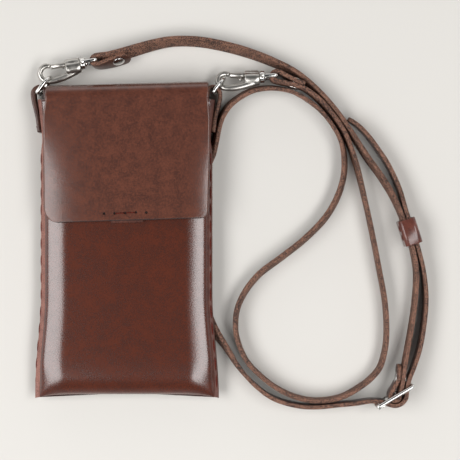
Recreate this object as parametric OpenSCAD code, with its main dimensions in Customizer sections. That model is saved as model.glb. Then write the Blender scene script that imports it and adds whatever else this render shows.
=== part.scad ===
// Leather phone pouch with a two-part shoulder strap, lying on its back.
// X runs across the pouch, Y from its bottom fold to its top fold and Z up
// from the surface. The origin is the middle of the pouch's back.

/* [Pouch] */
// half width of the pouch over its side seams
pouch_half_w = 48.7; // [44:0.1:54]
// height of the front panel over the surface
pouch_t = 16.8; // [14:0.1:20]
// from the middle of the back down to the bottom fold
bottom_reach = 87.8; // [80:0.2:96]
// from the middle of the back up to the open end of the pocket
mouth_reach = 79.5; // [74:0.5:84]
// how far each bottom corner flares out
corner_flare = 3.6; // [0:0.2:5]
// how far each bottom corner hangs below the fold
corner_drop = 2.2; // [0:0.2:3]
// leather of the pouch
leather_t = 1.7; // [1.4:0.1:2]
// middle of the seam flange over the surface
flange_z = 10.8; // [10:0.1:12]

/* [Flap] */
// half width of the flap
flap_half_w = 46.3; // [43:0.1:48]
// from the flap's lower edge to the middle of the back
flap_edge_y = 11; // [0:0.5:25]
// space between front panel and flap
flap_gap = 1.9; // [1.7:0.1:2.4]
// how far the flap's side edges curl down
flap_droop = 3.1; // [2:0.1:3.4]
// radius of the flap's lower corners
flap_corner_r = 4; // [2:0.5:8]
// bores of the stitch row
bore_d = 1.2; // [0.8:0.1:1.6]
// distance between two bores
bore_pitch = 5.85; // [5:0.05:7]
// magnet discs of the closure
magnet_d = 12; // [8:0.5:14]

/* [Hardware] */
// wire of rings, eyes and buckle
wire_d = 2.2; // [1.8:0.1:2.4]
// clear width of rings, eyes and buckle for the strap
clear_w = 10.4; // [10.3:0.1:11]
// barrel of the bolt snaps
barrel_d = 7.6; // [7:0.1:8.4]
// length of that barrel
barrel_l = 8.5; // [8.2:0.1:9.5]
// sliding bolt of the snaps
bolt_d = 2.8; // [2.4:0.1:3]
// travel of the bolt
bolt_travel = 3.4; // [2.4:0.1:3.5]
// cast back arm of the snaps
arm_d = 3; // [2.6:0.1:3.2]
// length of the buckle frame over its bars
buckle_l = 25.3; // [24:0.1:28]

/* [Strap] */
// width of the strap
strap_w = 10; // [8:0.1:10]
// thickness of the strap
strap_t = 2.3; // [1.8:0.1:2.4]
// length of the keeper along the strap
keeper_l = 14.9; // [10:0.1:18]
// caps of the rivets
rivet_d = 7; // [5:0.5:8]

/* [Hidden] */
// one overrun for all cuts, the play of a fit and a mere touch
overrun = 0.5;
fit_gap = 0.1;
no_gap = 0.01;
wire_r = wire_d / 2;
ground_gap = 0.6;
mid_z = ground_gap + wire_d + clear_w / 2;
steps = 32;
leather_c = [0.36, 0.20, 0.16];
strap_c = [0.41, 0.29, 0.24];
thread_c = [0.43, 0.18, 0.14];
metal_c = [0.80, 0.80, 0.80];
magnet_c = [0.45, 0.45, 0.47];

// Shared shapes

function mix(a, b, t) = a + (b - a) * t;
function clamp01(t) = max(0, min(1, t));
function ease(t) = clamp01(t) * clamp01(t) * (3 - 2 * clamp01(t));
function rise(s, m) = pow(max(0, 1 - pow(clamp01(s), m)), 1 / m);

// A closed skin over rings that all have the same number of points. The end
// rings of a thin plate are closed by strips between its two faces.
module skin(rings, plate = false) {
    n = len(rings[0]);
    m = len(rings);
    last = (m - 1) * n;
    polyhedron(
        points = [for (ring = rings) for (p = ring) p],
        faces = concat(
            plate
            ? [for (i = [0 : n / 2 - 2]) for (h = [0, 1])
                h == 0 ? [i, i + 1, n - 1 - i] : [i + 1, n - 2 - i, n - 1 - i]]
            : [[for (i = [0 : n - 1]) i]],
            plate
            ? [for (i = [0 : n / 2 - 2]) for (h = [0, 1])
                h == 0 ? [last + i, last + n - 1 - i, last + i + 1]
                       : [last + i + 1, last + n - 1 - i, last + n - 2 - i]]
            : [[for (i = [n - 1 : -1 : 0]) last + i]],
            [for (j = [0 : m - 2]) for (i = [0 : n - 1]) for (h = [0, 1])
                h == 0
                ? [j * n + i, (j + 1) * n + i, j * n + (i + 1) % n]
                : [j * n + (i + 1) % n, (j + 1) * n + i, (j + 1) * n + (i + 1) % n]]),
        convexity = 8);
}

// Unit tangent of a route in plan at point i.
function heading(route, i) =
    let (a = route[max(0, i - 1)], b = route[min(len(route) - 1, i + 1)],
         d = [b[0] - a[0], b[1] - a[1]])
    d / norm(d);

// A strap on edge: route points are [x, y, z, lean]; lean tips the upper
// edge toward the left of the way it runs.
module strap_along(route, w, t) {
    c = 0.2 * t;
    half = [[w / 2, t / 2 - c], [w / 2 - c, t / 2], [c - w / 2, t / 2], [-w / 2, t / 2 - c],
            [-w / 2, c - t / 2], [c - w / 2, -t / 2], [w / 2 - c, -t / 2], [w / 2, c - t / 2]];
    skin([for (i = [0 : len(route) - 1])
        let (h = heading(route, i), p = route[i],
             left = [-h[1], h[0], 0], up = [0, 0, 1],
             across = up * cos(p[3]) + left * sin(p[3]),
             out = left * cos(p[3]) - up * sin(p[3]))
        [for (k = half) [p[0], p[1], p[2]] + across * k[0] - out * k[1]]]);
}

// A round bar along a route in one level plane.
module bar_along(route, r, sides) {
    skin([for (i = [0 : len(route) - 1])
        let (h = heading(route, i), left = [-h[1], h[0]])
        [for (k = [0 : sides - 1])
            let (a = 360 * k / sides)
            [route[i][0] + left[0] * r * cos(a), route[i][1] + left[1] * r * cos(a),
             r * sin(a)]]]);
}

// A round rod between two points.
module rod(a, b, r) {
    d = b - a;
    translate(a)
        rotate([0, acos(d[2] / norm(d)), atan2(d[1], d[0])])
            cylinder(h = norm(d), r = r, $fn = steps);
}

// Pouch

// how far the stitches press the two layers of the seam together
seam_press = 0.2;
flange_t = 2 * leather_t - seam_press;
// the flat seam outside the front's rounding
flange_w = 2.1;
// length over which the front rounds down to the bottom fold
fold_len = 27.8;
fold_start = fold_len - bottom_reach;
// how far the back's underside rounds up to that fold
under_round = 5.8;
// from the foot of the leaning lower wall to the flange
wall_foot = 11.1;
wall_foot_in = 10.3;
// where both layers of the seam part to form the pocket
seam_in = 1.6;
seam_slit = 0.5;
seam_rise = 0.6;
// middle of the bottom fold over the surface
fold_z = 7;
// length over which the corners flare out
flare_len = 57.8;
flare_start = flare_len - bottom_reach;
// the flange turns into an upright side wall toward the open end
wall_len = 29.5;
wall_start = mouth_reach - wall_len;
wall_turn = 9;
wall_out = 1.5;
wall_x = pouch_half_w + wall_out;
wall_low = 2.8;
wall_high = 13.4;
wall_round = 1.5;
wall_crest = 1.1;
wall_corner = 5;
wall_lean_share = 0.118;
round_shares = [0.985, 0.95, 0.88, 0.78, 0.62, 0.42, 0.2];
// cross-sections, counted from the open end, from the bottom fold and as
// shares of the plain stretch between them
top_stations = [9.5, 15.5, 20.5, 23.5, 26.5, 29.5];
low_stations = [43.8, 33.8, 27.8, 21.8, 16.8, 12.8, 8.8, 5.8];
mid_shares = [0.1, 0.4, 0.7, 0.88];
body_stations = concat([for (d = top_stations) mouth_reach - d],
    [for (s = mid_shares) mix(wall_start, low_stations[0] - bottom_reach, s)],
    [for (d = low_stations) d - bottom_reach]);
end_stations = [3, 1.6, 0.5, 0];

function flange_mid(y) =
    mix(flange_z, fold_z, ease((fold_start - under_round - y) / (bottom_reach + fold_start - under_round)));
function half_at(y) = pouch_half_w + corner_flare * ease((flare_start - y) / (bottom_reach + flare_start));
function wall_at(y) = wall_x - wall_lean_share * (mouth_reach - y);
function top_mix(y) = ease((y - wall_start) / wall_turn);

// Right half of the outside of one cross-section, from the underside round
// to the crest of the front.
function outer_half(y) =
    let (q = rise((fold_start - y) / (fold_start + bottom_reach), 2.2),
         low = rise((under_round - bottom_reach - y) / under_round, 2),
         zf = flange_mid(y), a = half_at(y), w = top_mix(y), wx = wall_at(y),
         edge = a - flange_w, zt = zf + flange_t / 2, zl = zf - flange_t / 2,
         plain = [[edge - wall_foot, mix(zl, 0, low)], [edge + seam_rise, zl - seam_rise / 2], [a, zl],
                  [a, zt], [edge, zt]],
         side = [[wx - wall_corner, 0], [wx, wall_low], [wx, mid_z], [wx, wall_high],
                 [wx - wall_round, wall_high + wall_crest]],
         top_edge = mix(edge, wx - wall_round, w),
         top_low = mix(zt, wall_high + wall_crest, w),
         top_rise = mix((pouch_t - zt) * q, pouch_t - wall_high - wall_crest, w))
    concat(mix(plain, side, w),
        [for (s = round_shares) [top_edge * s, top_low + top_rise * rise(s, 3)]],
        [[0, top_low + top_rise]]);

// The same for the pocket inside, one leather further in.
function inner_half(y) =
    let (reach = bottom_reach - leather_t, q = rise((fold_start - y) / (fold_start + reach), 2.2),
         low = rise((under_round - reach - y) / under_round, 2),
         zf = flange_mid(y), w = top_mix(y), wx = wall_at(y) - 2 * leather_t,
         edge = half_at(y) - flange_w - seam_in, zl = zf - seam_slit,
         plain = [[edge - wall_foot_in, mix(zl, leather_t, low)], [edge, zl - fit_gap], [edge, zl],
                  [edge, zf], [edge, zf + fit_gap]],
         side = [[wx - wall_corner, leather_t], [wx, wall_low], [wx, mid_z], [wx, wall_high - fit_gap],
                 [wx - wall_round, wall_high]],
         top_edge = mix(edge, wx - wall_round, w),
         top_low = mix(zf + fit_gap, wall_high, w),
         top_rise = mix((pouch_t - leather_t - zf) * q, pouch_t - leather_t - wall_high, w))
    concat(mix(plain, side, w),
        [for (s = round_shares) [top_edge * s, top_low + top_rise * rise(s, 3)]],
        [[0, top_low + top_rise]]);

function ring_of(half, y, flat) =
    let (n = len(half), all = concat(half, [for (i = [n - 2 : -1 : 0]) [-half[i][0], half[i][1]]]),
         hang = flat ? 0 : corner_drop * clamp01((fold_start - y) / (fold_start + bottom_reach)))
    [for (p = all) [p[0], y - hang * pow(abs(p[0]) / half_at(y), 6), p[1]]];

module body_blank() {
    skin(concat(
        [ring_of(outer_half(mouth_reach), mouth_reach, true)],
        [for (y = body_stations) ring_of(outer_half(y), y, false)],
        [for (d = end_stations) let (y = d - bottom_reach) ring_of(outer_half(y), y, false)]));
}

module pocket() {
    reach = bottom_reach - leather_t;
    skin(concat(
        [ring_of(inner_half(mouth_reach), mouth_reach + overrun, true)],
        [for (y = body_stations) ring_of(inner_half(y), y, false)],
        [for (d = end_stations) let (y = d - reach)
            if (d < end_stations[0]) ring_of(inner_half(y), y, false)]));
}

module body_shell() {
    color(leather_c)
        difference() {
            body_blank();
            pocket();
        }
}

// The same leather bending over the open end to the flap.
// the rings stand beside it, this far above the open end, with room for the fold
ring_seat = 4.1;
ring_x = wall_x - leather_t + ring_seat * wall_lean_share;
ring_y = mouth_reach + ring_seat;
ring_room = 2.8;
// it is a little narrower than the flap
fold_side = 1.3;
fold_half_w = min(flap_half_w - fold_side, ring_x - wire_r - ring_room);
flap_z = pouch_t + flap_gap;
flap_top = flap_z + leather_t;
fold_reach = 9.3;

function fold_line(inset) = [for (a = [-90 : 12 : 90])
    let (c = cos(a), s = sin(a), p = 2 / 2.6)
    [mouth_reach + (fold_reach - inset) * pow(c, p),
     flap_top / 2 + (flap_top / 2 - inset) * sign(s) * pow(abs(s), p)]];

module top_fold() {
    color(leather_c)
        rotate([90, 0, 90])
            linear_extrude(height = 2 * fold_half_w, center = true)
                polygon(concat(fold_line(0), [for (i = [15 : -1 : 0]) fold_line(leather_t)[i]]));
}

// Flap, with its stitch row and the closure's magnet

flap_shares = [-1, -0.985, -0.94, -0.87, -0.77, -0.64, -0.4, 0.4, 0.64, 0.77, 0.87, 0.94, 0.985, 1];
row_inset = 4.1;
row_y = flap_edge_y + row_inset;
groove = 0.6;
patch_half_w = 9;
patch_t = 1.2;
patch_lip = 1.5;
patch_rim = 1;
magnet_t = 0.8;
magnet_y = row_y + bore_d + patch_rim + magnet_d / 2;
patch_low = flap_edge_y - patch_lip;
patch_high = magnet_y + magnet_d / 2 + patch_rim;
droop_len = 18;
widen_len = 12;
// the flap is flat over this share of its width
flat_share = 0.4;

function droop(x, y) = flap_droop * pow(clamp01((abs(x) / flap_half_w - flat_share) / (1 - flat_share)), 3)
    * ease((mouth_reach - y) / droop_len);
function flap_half(y) = mix(fold_half_w, flap_half_w, ease((mouth_reach - y) / widen_len));
function flap_section(y) = concat(
    [for (s = flap_shares) let (x = s * flap_half(y)) [x, flap_z - droop(x, y)]],
    [for (i = [len(flap_shares) - 1 : -1 : 0]) let (x = flap_shares[i] * flap_half(y))
        [x, flap_top - droop(x, y)]]);
curl_y = mouth_reach - droop_len;

// Where the flap leaves the fold its edges curl down little by little.
module flap_root() {
    skin([for (s = [0, 0.25, 0.5, 0.75, 1]) let (y = mix(mouth_reach, curl_y, s))
        [for (p = flap_section(y)) [p[0], y, p[1]]]], plate = true);
}

module flap_outline() {
    r = flap_corner_r;
    translate([r - flap_half_w, flap_edge_y])
        square([2 * (flap_half_w - r), r + overrun]);
    translate([-flap_half_w, flap_edge_y + r])
        square([2 * flap_half_w, curl_y - flap_edge_y - r + overrun]);
    for (s = [-1, 1])
        translate([s * (flap_half_w - r), flap_edge_y + r])
            circle(r = r, $fn = 2 * steps);
}

module flap_plate() {
    intersection() {
        translate([0, curl_y, 0])
            rotate([90, 0, 0])
                linear_extrude(height = curl_y - flap_edge_y)
                    polygon(flap_section(curl_y));
        linear_extrude(height = flap_top + overrun)
            flap_outline();
    }
}

module flap() {
    color(leather_c) {
        flap_root();
        difference() {
            flap_plate();
            for (i = [-2 : 2])
                translate([i * bore_pitch, row_y, flap_z - overrun])
                    cylinder(h = leather_t + 2 * overrun, d = bore_d, $fn = steps);
            translate([-bore_pitch - bore_d / 4, row_y - bore_d / 3, flap_top - groove])
                cube([2 * bore_pitch + bore_d / 2, bore_d / 1.5, groove + overrun]);
            translate([0, magnet_y, flap_z - overrun])
                cylinder(h = magnet_t + fit_gap + overrun, d = magnet_d + 2 * fit_gap, $fn = 2 * steps);
        }
    }
}

module flap_patch() {
    color(leather_c)
        translate([0, 0, flap_z - patch_t - no_gap])
            difference() {
                translate([-patch_half_w, patch_low, 0])
                    cube([2 * patch_half_w, patch_high - patch_low, patch_t]);
                for (i = [-1 : 1])
                    translate([i * bore_pitch, row_y, -overrun])
                        cylinder(h = patch_t + 2 * overrun, d = bore_d, $fn = steps);
            }
}

module flap_magnet() {
    color(magnet_c)
        translate([0, magnet_y, flap_z + no_gap])
            cylinder(h = magnet_t, d = magnet_d, $fn = 2 * steps);
}

// Thread sunk between the middle bores, drawn through flap and patch.
module flap_stitches() {
    r = bore_d / 3;
    z_top = flap_top - groove + r;
    z_low = flap_z - patch_t;
    color(thread_c) {
        for (i = [-1 : 1])
            rod([i * bore_pitch, row_y, z_low], [i * bore_pitch, row_y, z_top], r);
        rod([-bore_pitch - r, row_y, z_top], [bore_pitch + r, row_y, z_top], r);
        rod([-bore_pitch - r, row_y, z_low], [bore_pitch + r, row_y, z_low], r);
    }
}

// The counterpart behind the front panel, under its leather cover.
front_magnet_t = 1;
cover_t = 0.8;
cover_rim = 3;
// the cover lies just under the front panel, which falls a little toward its sides
front_sag = 0.35;
front_under = pouch_t - leather_t - front_sag;

module front_magnet() {
    color(magnet_c)
        translate([0, magnet_y, front_under - front_magnet_t])
            cylinder(h = front_magnet_t, d = magnet_d, $fn = 2 * steps);
}

module front_patch() {
    rim = magnet_d / 2 + cover_rim;
    color(leather_c)
        translate([0, magnet_y, front_under - front_magnet_t - cover_t])
            difference() {
                cylinder(h = cover_t + front_magnet_t, r = rim, $fn = 2 * steps);
                translate([0, 0, cover_t])
                    cylinder(h = front_magnet_t + overrun, d = magnet_d + 2 * fit_gap, $fn = 2 * steps);
            }
}

// Stitches of the pouch

thread_r = 0.5;
thread_rise = 0.2;
seam_inset = 1.1;
seam_count = 15;
seam_top = wall_start - 2 * thread_r;
seam_end = 3.8;
seam_low = seam_end - bottom_reach;

module seam_thread() {
    hole = [for (i = [0 : seam_count]) let (y = mix(seam_top, seam_low, i / seam_count))
        [half_at(y) - seam_inset, y, flange_mid(y)]];
    over = [0, 0, flange_t / 2 + thread_rise];
    knot = [0, 0, thread_r / 2];
    color(thread_c) {
        for (i = [0 : seam_count])
            rod(hole[i] - over - knot, hole[i] + over + knot, thread_r + fit_gap);
        for (i = [0 : seam_count - 1], side = [-1, 1]) {
            a = hole[i] + side * over;
            b = hole[i + 1] + side * over;
            inset = (b - a) / norm(b - a) * thread_r / 2;
            rod(a + inset, b - inset, thread_r);
        }
    }
}

module left_seam_thread() { mirror([1, 0, 0]) seam_thread(); }

module right_seam_thread() { seam_thread(); }

// Tabs folded over the rings; local x points outward and y up the side wall

tab_t = 2.2;
tab_leg = 18;
tab_rise = 4.5;
tab_in = leather_t + fit_gap;
tab_out = tab_in + tab_t;
tab_stitch = 15;

module on_wall() {
    translate([wall_x - leather_t, mouth_reach, mid_z])
        rotate([0, 0, -atan(wall_lean_share)])
            children();
}

module tab_half(r) {
    translate([0, tab_rise])
        circle(r = r, $fn = 2 * steps);
    translate([-r, -tab_leg])
        square([2 * r, tab_leg + tab_rise]);
}

module tab() {
    color(strap_c)
        on_wall()
            linear_extrude(height = strap_w, center = true)
                difference() {
                    tab_half(tab_out);
                    translate([0, -no_gap])
                        tab_half(tab_in);
                }
}

module tab_thread() {
    color(thread_c)
        on_wall() {
            for (s = [-1, 1]) {
                rod([-tab_out, -tab_stitch, s * strap_w / 4], [tab_out, -tab_stitch, s * strap_w / 4],
                    thread_r);
                rod([s * tab_out, -tab_stitch, -strap_w / 4], [s * tab_out, -tab_stitch, strap_w / 4],
                    thread_r);
            }
        }
}

module left_tab() { mirror([1, 0, 0]) tab(); }

module right_tab() { tab(); }

module left_tab_thread() { mirror([1, 0, 0]) tab_thread(); }

module right_tab_thread() { tab_thread(); }

// Wire loops stand upright: their clear width runs along Z

loop_half = clear_w / 2 + wire_r;
ring_leg = 4.1;
left_ring_turn = 72;
right_ring_turn = 51.6;

module d_ring(turn) {
    color(metal_c)
        rotate([0, 0, turn]) {
            rod([0, 0, -loop_half], [0, 0, loop_half], wire_r);
            for (s = [-1, 1]) {
                translate([0, 0, s * loop_half])
                    sphere(r = wire_r, $fn = steps);
                rod([0, 0, s * loop_half], [ring_leg, 0, s * loop_half], wire_r);
            }
            translate([ring_leg, 0, 0])
                rotate([90, 0, 0])
                    rotate([0, 0, -90])
                        rotate_extrude(angle = 180, $fn = 2 * steps)
                            translate([loop_half, 0])
                                circle(r = wire_r, $fn = steps);
        }
}

module left_d_ring() { translate([-ring_x, ring_y, mid_z]) d_ring(left_ring_turn); }

module right_d_ring() { translate([ring_x, ring_y, mid_z]) d_ring(right_ring_turn); }

// Bolt snaps: local x points from the hook to the swivel eye

left_snap = [-30.4, 98.2, mid_z];
right_snap = [71.3, 91.5, mid_z];
left_snap_turn = 10;
right_snap_turn = 1;
bolt_y = 2.6;
bolt_tip = -12.7;
bolt_tail = -1;
boss_wall = 1.2;
bore_end = 3.8;
swivel_y = 1.4;
post_r = 1.5;
post_l = 3;
head_r = 2.3;
head_l = 1.1;
eye_disc_r = 3.4;
eye_side = 0.2;
eye_reach = 13.7;
knob_x = -6.3;
stud_r = 0.8;
knob_r = 1.5;
knob_low = 4.6;
knob_t = 1;
hook_route = [[2.5, -1.8], [-4.5, -4], [-10, -5.2], [-14.8, -5.3], [-17.9, -4.1], [-19.5, -1.4],
              [-19.1, 1.3], [-17.3, 3.2], [-15, 3.7], [-13, 3]];

module at_snap(place, turn) {
    translate(place)
        rotate([0, 0, turn])
            children();
}

module lying(x, y, len, r) {
    translate([x, y, 0])
        rotate([0, 90, 0])
            cylinder(h = len, r = r, $fn = 2 * steps);
}

module hook() {
    color(metal_c) {
        difference() {
            union() {
                lying(-barrel_l / 2, 0, barrel_l, barrel_d / 2);
                lying(-barrel_l / 2, bolt_y, barrel_l, bolt_d / 2 + boss_wall);
                bar_along(hook_route, arm_d / 2, 10);
            }
            lying(-barrel_l, bolt_y, barrel_l + bore_end, bolt_d / 2 + fit_gap);
            translate([-barrel_l / 2 - overrun, bolt_y - stud_r - fit_gap, -barrel_d])
                cube([knob_x + bolt_travel + stud_r + fit_gap + barrel_l / 2 + overrun,
                      2 * (stud_r + fit_gap), barrel_d]);
        }
        lying(barrel_l / 2 - no_gap, swivel_y, post_l, post_r);
        lying(barrel_l / 2 - no_gap + post_l, swivel_y, head_l, head_r);
    }
}

module gate() {
    color(metal_c) {
        lying(bolt_tip, bolt_y, bolt_tail - bolt_tip, bolt_d / 2);
        rod([knob_x, bolt_y, -knob_low + knob_t / 2], [knob_x, bolt_y, 0], stud_r);
        rod([knob_x, bolt_y, -knob_low], [knob_x, bolt_y, knob_t - knob_low], knob_r);
    }
}

spring_wire_r = 0.15;
spring_r = 1.1;
spring_turns = 4;

module gate_spring() {
    x0 = bolt_tail + spring_wire_r + fit_gap;
    x1 = bore_end - spring_wire_r - fit_gap;
    count = spring_turns * 12;
    color(metal_c)
        skin([for (i = [0 : count])
            let (a = 30 * i, x = mix(x0, x1, i / count))
            [for (k = [0 : 5]) let (b = -60 * k, r = spring_r + spring_wire_r * cos(b))
                [x + spring_wire_r * sin(b), bolt_y + r * cos(a), r * sin(a)]]]);
}

module swivel_eye() {
    x0 = barrel_l / 2 + eye_side;
    x1 = barrel_l / 2 + post_l - eye_side;
    xm = (x0 + x1) / 2;
    color(metal_c)
        difference() {
            translate([0, swivel_y, 0]) {
                lying(x0, 0, x1 - x0, eye_disc_r);
                rod([xm, 0, -loop_half], [xm, 0, loop_half], wire_r);
                rod([eye_reach, 0, -loop_half], [eye_reach, 0, loop_half], wire_r);
                for (s = [-1, 1]) {
                    rod([xm, 0, s * loop_half], [eye_reach, 0, s * loop_half], wire_r);
                    for (x = [xm, eye_reach])
                        translate([x, 0, s * loop_half])
                            sphere(r = wire_r, $fn = steps);
                }
            }
            lying(x0 - overrun, swivel_y, x1 - x0 + 2 * overrun, post_r + fit_gap);
        }
}

module left_hook() { at_snap(left_snap, left_snap_turn) hook(); }

module right_hook() { at_snap(right_snap, right_snap_turn) hook(); }

module left_gate() { at_snap(left_snap, left_snap_turn) gate(); }

module right_gate() { at_snap(right_snap, right_snap_turn) gate(); }

module left_gate_spring() { at_snap(left_snap, left_snap_turn) gate_spring(); }

module right_gate_spring() { at_snap(right_snap, right_snap_turn) gate_spring(); }

module left_swivel_eye() { at_snap(left_snap, left_snap_turn) swivel_eye(); }

module right_swivel_eye() { at_snap(right_snap, right_snap_turn) swivel_eye(); }

// Buckle: local x runs along the frame from the lower bar to the upper one

buckle_place = [141.4, -94.9, mid_z];
buckle_turn = 30.4;
buckle_mid = buckle_l / 2;
prong_r = 0.9;
prong_ring = 2.25;
prong_drop = 2.15;
prong_over = 1;

module buckle_frame() {
    color(metal_c)
        translate(buckle_place)
            rotate([0, 0, buckle_turn]) {
                for (x = [wire_r, buckle_mid, buckle_l - wire_r])
                    rod([x, 0, -loop_half], [x, 0, loop_half], wire_r);
                for (s = [-1, 1]) {
                    rod([wire_r, 0, s * loop_half], [buckle_l - wire_r, 0, s * loop_half], wire_r);
                    for (x = [wire_r, buckle_l - wire_r])
                        translate([x, 0, s * loop_half])
                            sphere(r = wire_r, $fn = steps);
                }
            }
}

module buckle_prong() {
    color(metal_c)
        translate(buckle_place)
            rotate([0, 0, buckle_turn])
                difference() {
                    union() {
                        translate([buckle_mid, 0, -prong_r - thread_rise])
                            cylinder(h = 2 * (prong_r + thread_rise), r = prong_ring, $fn = 2 * steps);
                        rod([buckle_mid - prong_ring / 2, -prong_ring / 2 - prong_r / 2, 0],
                            [wire_r - prong_over, -prong_drop, 0], prong_r);
                    }
                    translate([buckle_mid, 0, -prong_ring])
                        cylinder(h = 2 * prong_ring, r = wire_r + fit_gap, $fn = 2 * steps);
                }
}

// Straps on edge; each route is [x, y, z, lean] of the strap's middle

short_route = [
    [2.3, 107.4, 8, 0], [-5.2, 105.4, 8, 0], [-11.5, 102.6, 8, 0], [-16.6, 99.2, 8, 0],
    [-18.9, 99.8, 8, 0], [-19.9, 101.9, 8, 0], [-18.9, 104.1, 8, 0], [-16.4, 105.1, 8, 0],
    [-5.8, 107.9, 8, 0],
    [13, 112.6, 5.8, 14], [26, 114.7, 5.2, 17], [42, 114.4, 5.2, 17], [62, 110.4, 5.2, 17],
    [82, 103.4, 5.2, 15], [97, 96, 5.2, 10], [109.1, 85.5, 5.2, 6], [120, 73, 5.2, 6],
    [137.6, 47.3, 5.2, 6], [151.5, 26, 5.8, 4], [156.2, 14.7, 6.9, 0], [163, -6.3, 6.9, 0],
    [165, -20, 5.8, 0], [163.6, -40, 5.2, 0], [160.2, -61, 7, 0], [157.5, -74, 8, 0],
    [156.4, -82.4, 8, 0], [155, -88, 8, 0], [154.4, -90.3, 8, 0], [152.3, -91.3, 8, 0],
    [150.2, -90.3, 8, 0], [149.6, -88, 8, 0], [151.7, -83.8, 8, 0], [154.4, -79, 8, 0], [155.2, -70.6, 8, 0]];

long_route = [
    [101.3, 88.7, 8, 0], [95.7, 90.8, 8, 0], [90.5, 93.4, 8, 0], [85.7, 95.7, 8, 0],
    [83.5, 95.5, 8, 0], [82.2, 93.6, 8, 0], [82.8, 91.3, 8, 0], [84.8, 90.4, 8, 0],
    [93, 88.6, 8, 0], [101, 86.2, 7.6, 0], [108, 81.6, 6.4, 2], [116.8, 72.4, 5.2, 4], [124, 61.6, 5.2, 4],
    [130.5, 45, 5.2, 4], [135.8, 22.8, 5.2, 0], [141.4, -6, 5.2, 0], [147.1, -34.2, 5.2, 0],
    [148.2, -51.3, 5.2, 0], [147, -64, 5.2, 0], [142.5, -75.5, 5.2, 0], [134.5, -82.9, 5.2, 0],
    [122, -90, 5.2, 0], [108, -91.8, 5.2, 0], [94, -88.8, 5.2, 0], [77.5, -78.7, 5.2, 0],
    [67, -67, 5.2, 4], [61.6, -52, 5.2, 6], [62.1, -39.9, 5.2, 8], [66, -30.2, 5.2, 10],
    [75, -19, 5.2, 10], [100.3, 0.9, 5.2, 12], [113, 14, 5.2, 12], [120.6, 29, 5.2, 12],
    [123, 45.6, 5.2, 12], [119.6, 61, 5.2, 8], [109, 74.8, 5.2, 5], [98, 82.4, 5.2, 5],
    [84, 86, 5.2, 8], [71.5, 84.8, 5.2, 12], [60, 77.2, 5.2, 12], [53.9, 67.5, 5.2, 12],
    [51.7, 59, 5, 20], [48.8, 52, 4.4, 44], [43.4, 40, 4.15, 52], [43.4, -38, 4.15, 52],
    [48.8, -49, 4.25, 47], [56, -59.5, 5.2, 12], [67, -76.5, 5.2, 4], [81, -89, 5.2, 0],
    [97.5, -94.6, 5.2, 0], [115, -94.6, 5.2, 0], [130, -92.8, 6.8, 0], [138.5, -91.4, 8, 0],
    [144.8, -91.8, 8, 0], [148.8, -93.3, 8, 0], [152.6, -94, 8, 0], [156.2, -92.6, 8, 0],
    [158.5, -89.6, 8, 0], [159.1, -85.2, 8, 0], [160.3, -80.8, 8, 0], [163.9, -71, 7.6, 0],
    [167.6, -59, 5.2, 0], [170.2, -38, 5.2, 0], [169, -19, 5.8, 0], [165.8, -5.3, 6.9, 0],
    [159, 15.7, 6.9, 0], [153.6, 32, 5.6, 0], [144, 50.5, 5.2, 0], [135, 62, 5.2, 0],
    [126, 69.3, 5.2, 0]];

// The prong passes the long strap through a hole and the short strap's fold through a slot.
module at_prong() {
    translate(buckle_place)
        rotate([0, 0, buckle_turn])
            children();
}

prong_play = 0.6;
slot_in = prong_ring + prong_play;
slot_out = 2 * slot_in;

module short_strap() {
    color(strap_c)
        difference() {
            strap_along(short_route, strap_w, strap_t);
            at_prong()
                translate([buckle_mid - slot_out, -slot_out, -prong_r - prong_play])
                    cube([slot_out + slot_in, slot_out + slot_in, 2 * (prong_r + prong_play)]);
        }
}

module long_strap() {
    color(strap_c)
        difference() {
            strap_along(long_route, strap_w, strap_t);
            at_prong()
                translate([wire_r + 2 * prong_play, -prong_drop + fit_gap, 0])
                    rotate([0, 90, 0])
                        cylinder(h = buckle_mid - 2 * prong_ring, r = prong_r + prong_play, $fn = steps);
        }
}

// Rivets through both layers of a folded strap end

rivet_l = 4.9;
cap_t = 0.8;
// least leather beside a cap
rivet_rim = 1;
shank_r = 1.2;
left_rivet_place = [-5.5, 106.75, 8];
left_rivet_turn = 105;
right_rivet_place = [95.3, 89.4, 8];
right_rivet_turn = 74;
buckle_rivet_place = [155.7, -78.8, 8];
buckle_rivet_turn = 173;

module rivet(place, turn) {
    r = min(rivet_d, strap_w - 2 * rivet_rim) / 2;
    color(metal_c)
        translate(place)
            rotate([0, 0, turn])
                rotate([0, 90, 0]) {
                    cylinder(h = rivet_l, r = shank_r, center = true, $fn = steps);
                    for (s = [0, 1])
                        mirror([0, 0, s])
                            translate([0, 0, rivet_l / 2 - no_gap]) {
                                cylinder(h = cap_t / 2, r = r, $fn = 2 * steps);
                                translate([0, 0, cap_t / 2])
                                    cylinder(h = cap_t / 2, r1 = r, r2 = r / 2, $fn = 2 * steps);
                            }
                }
}

module left_rivet() { rivet(left_rivet_place, left_rivet_turn); }

module right_rivet() { rivet(right_rivet_place, right_rivet_turn); }

module buckle_rivet() { rivet(buckle_rivet_place, buckle_rivet_turn); }

// Keeper round the short strap and the long strap's tail

keeper_place = [161, 4.7, 6.9];
keeper_turn = -72;
keeper_in = 7.2;
keeper_t = 1.4;
keeper_play = 0.3;
keeper_stitch_l = 3.5;

module keeper() {
    w = keeper_in;
    h = strap_w + 2 * keeper_play;
    color(leather_c)
        translate(keeper_place)
            rotate([0, 0, keeper_turn])
                rotate([0, 90, 0])
                    linear_extrude(height = keeper_l, center = true)
                        difference() {
                            offset(r = keeper_t, $fn = steps)
                                square([h, w], center = true);
                            square([h, w], center = true);
                        }
}

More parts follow.
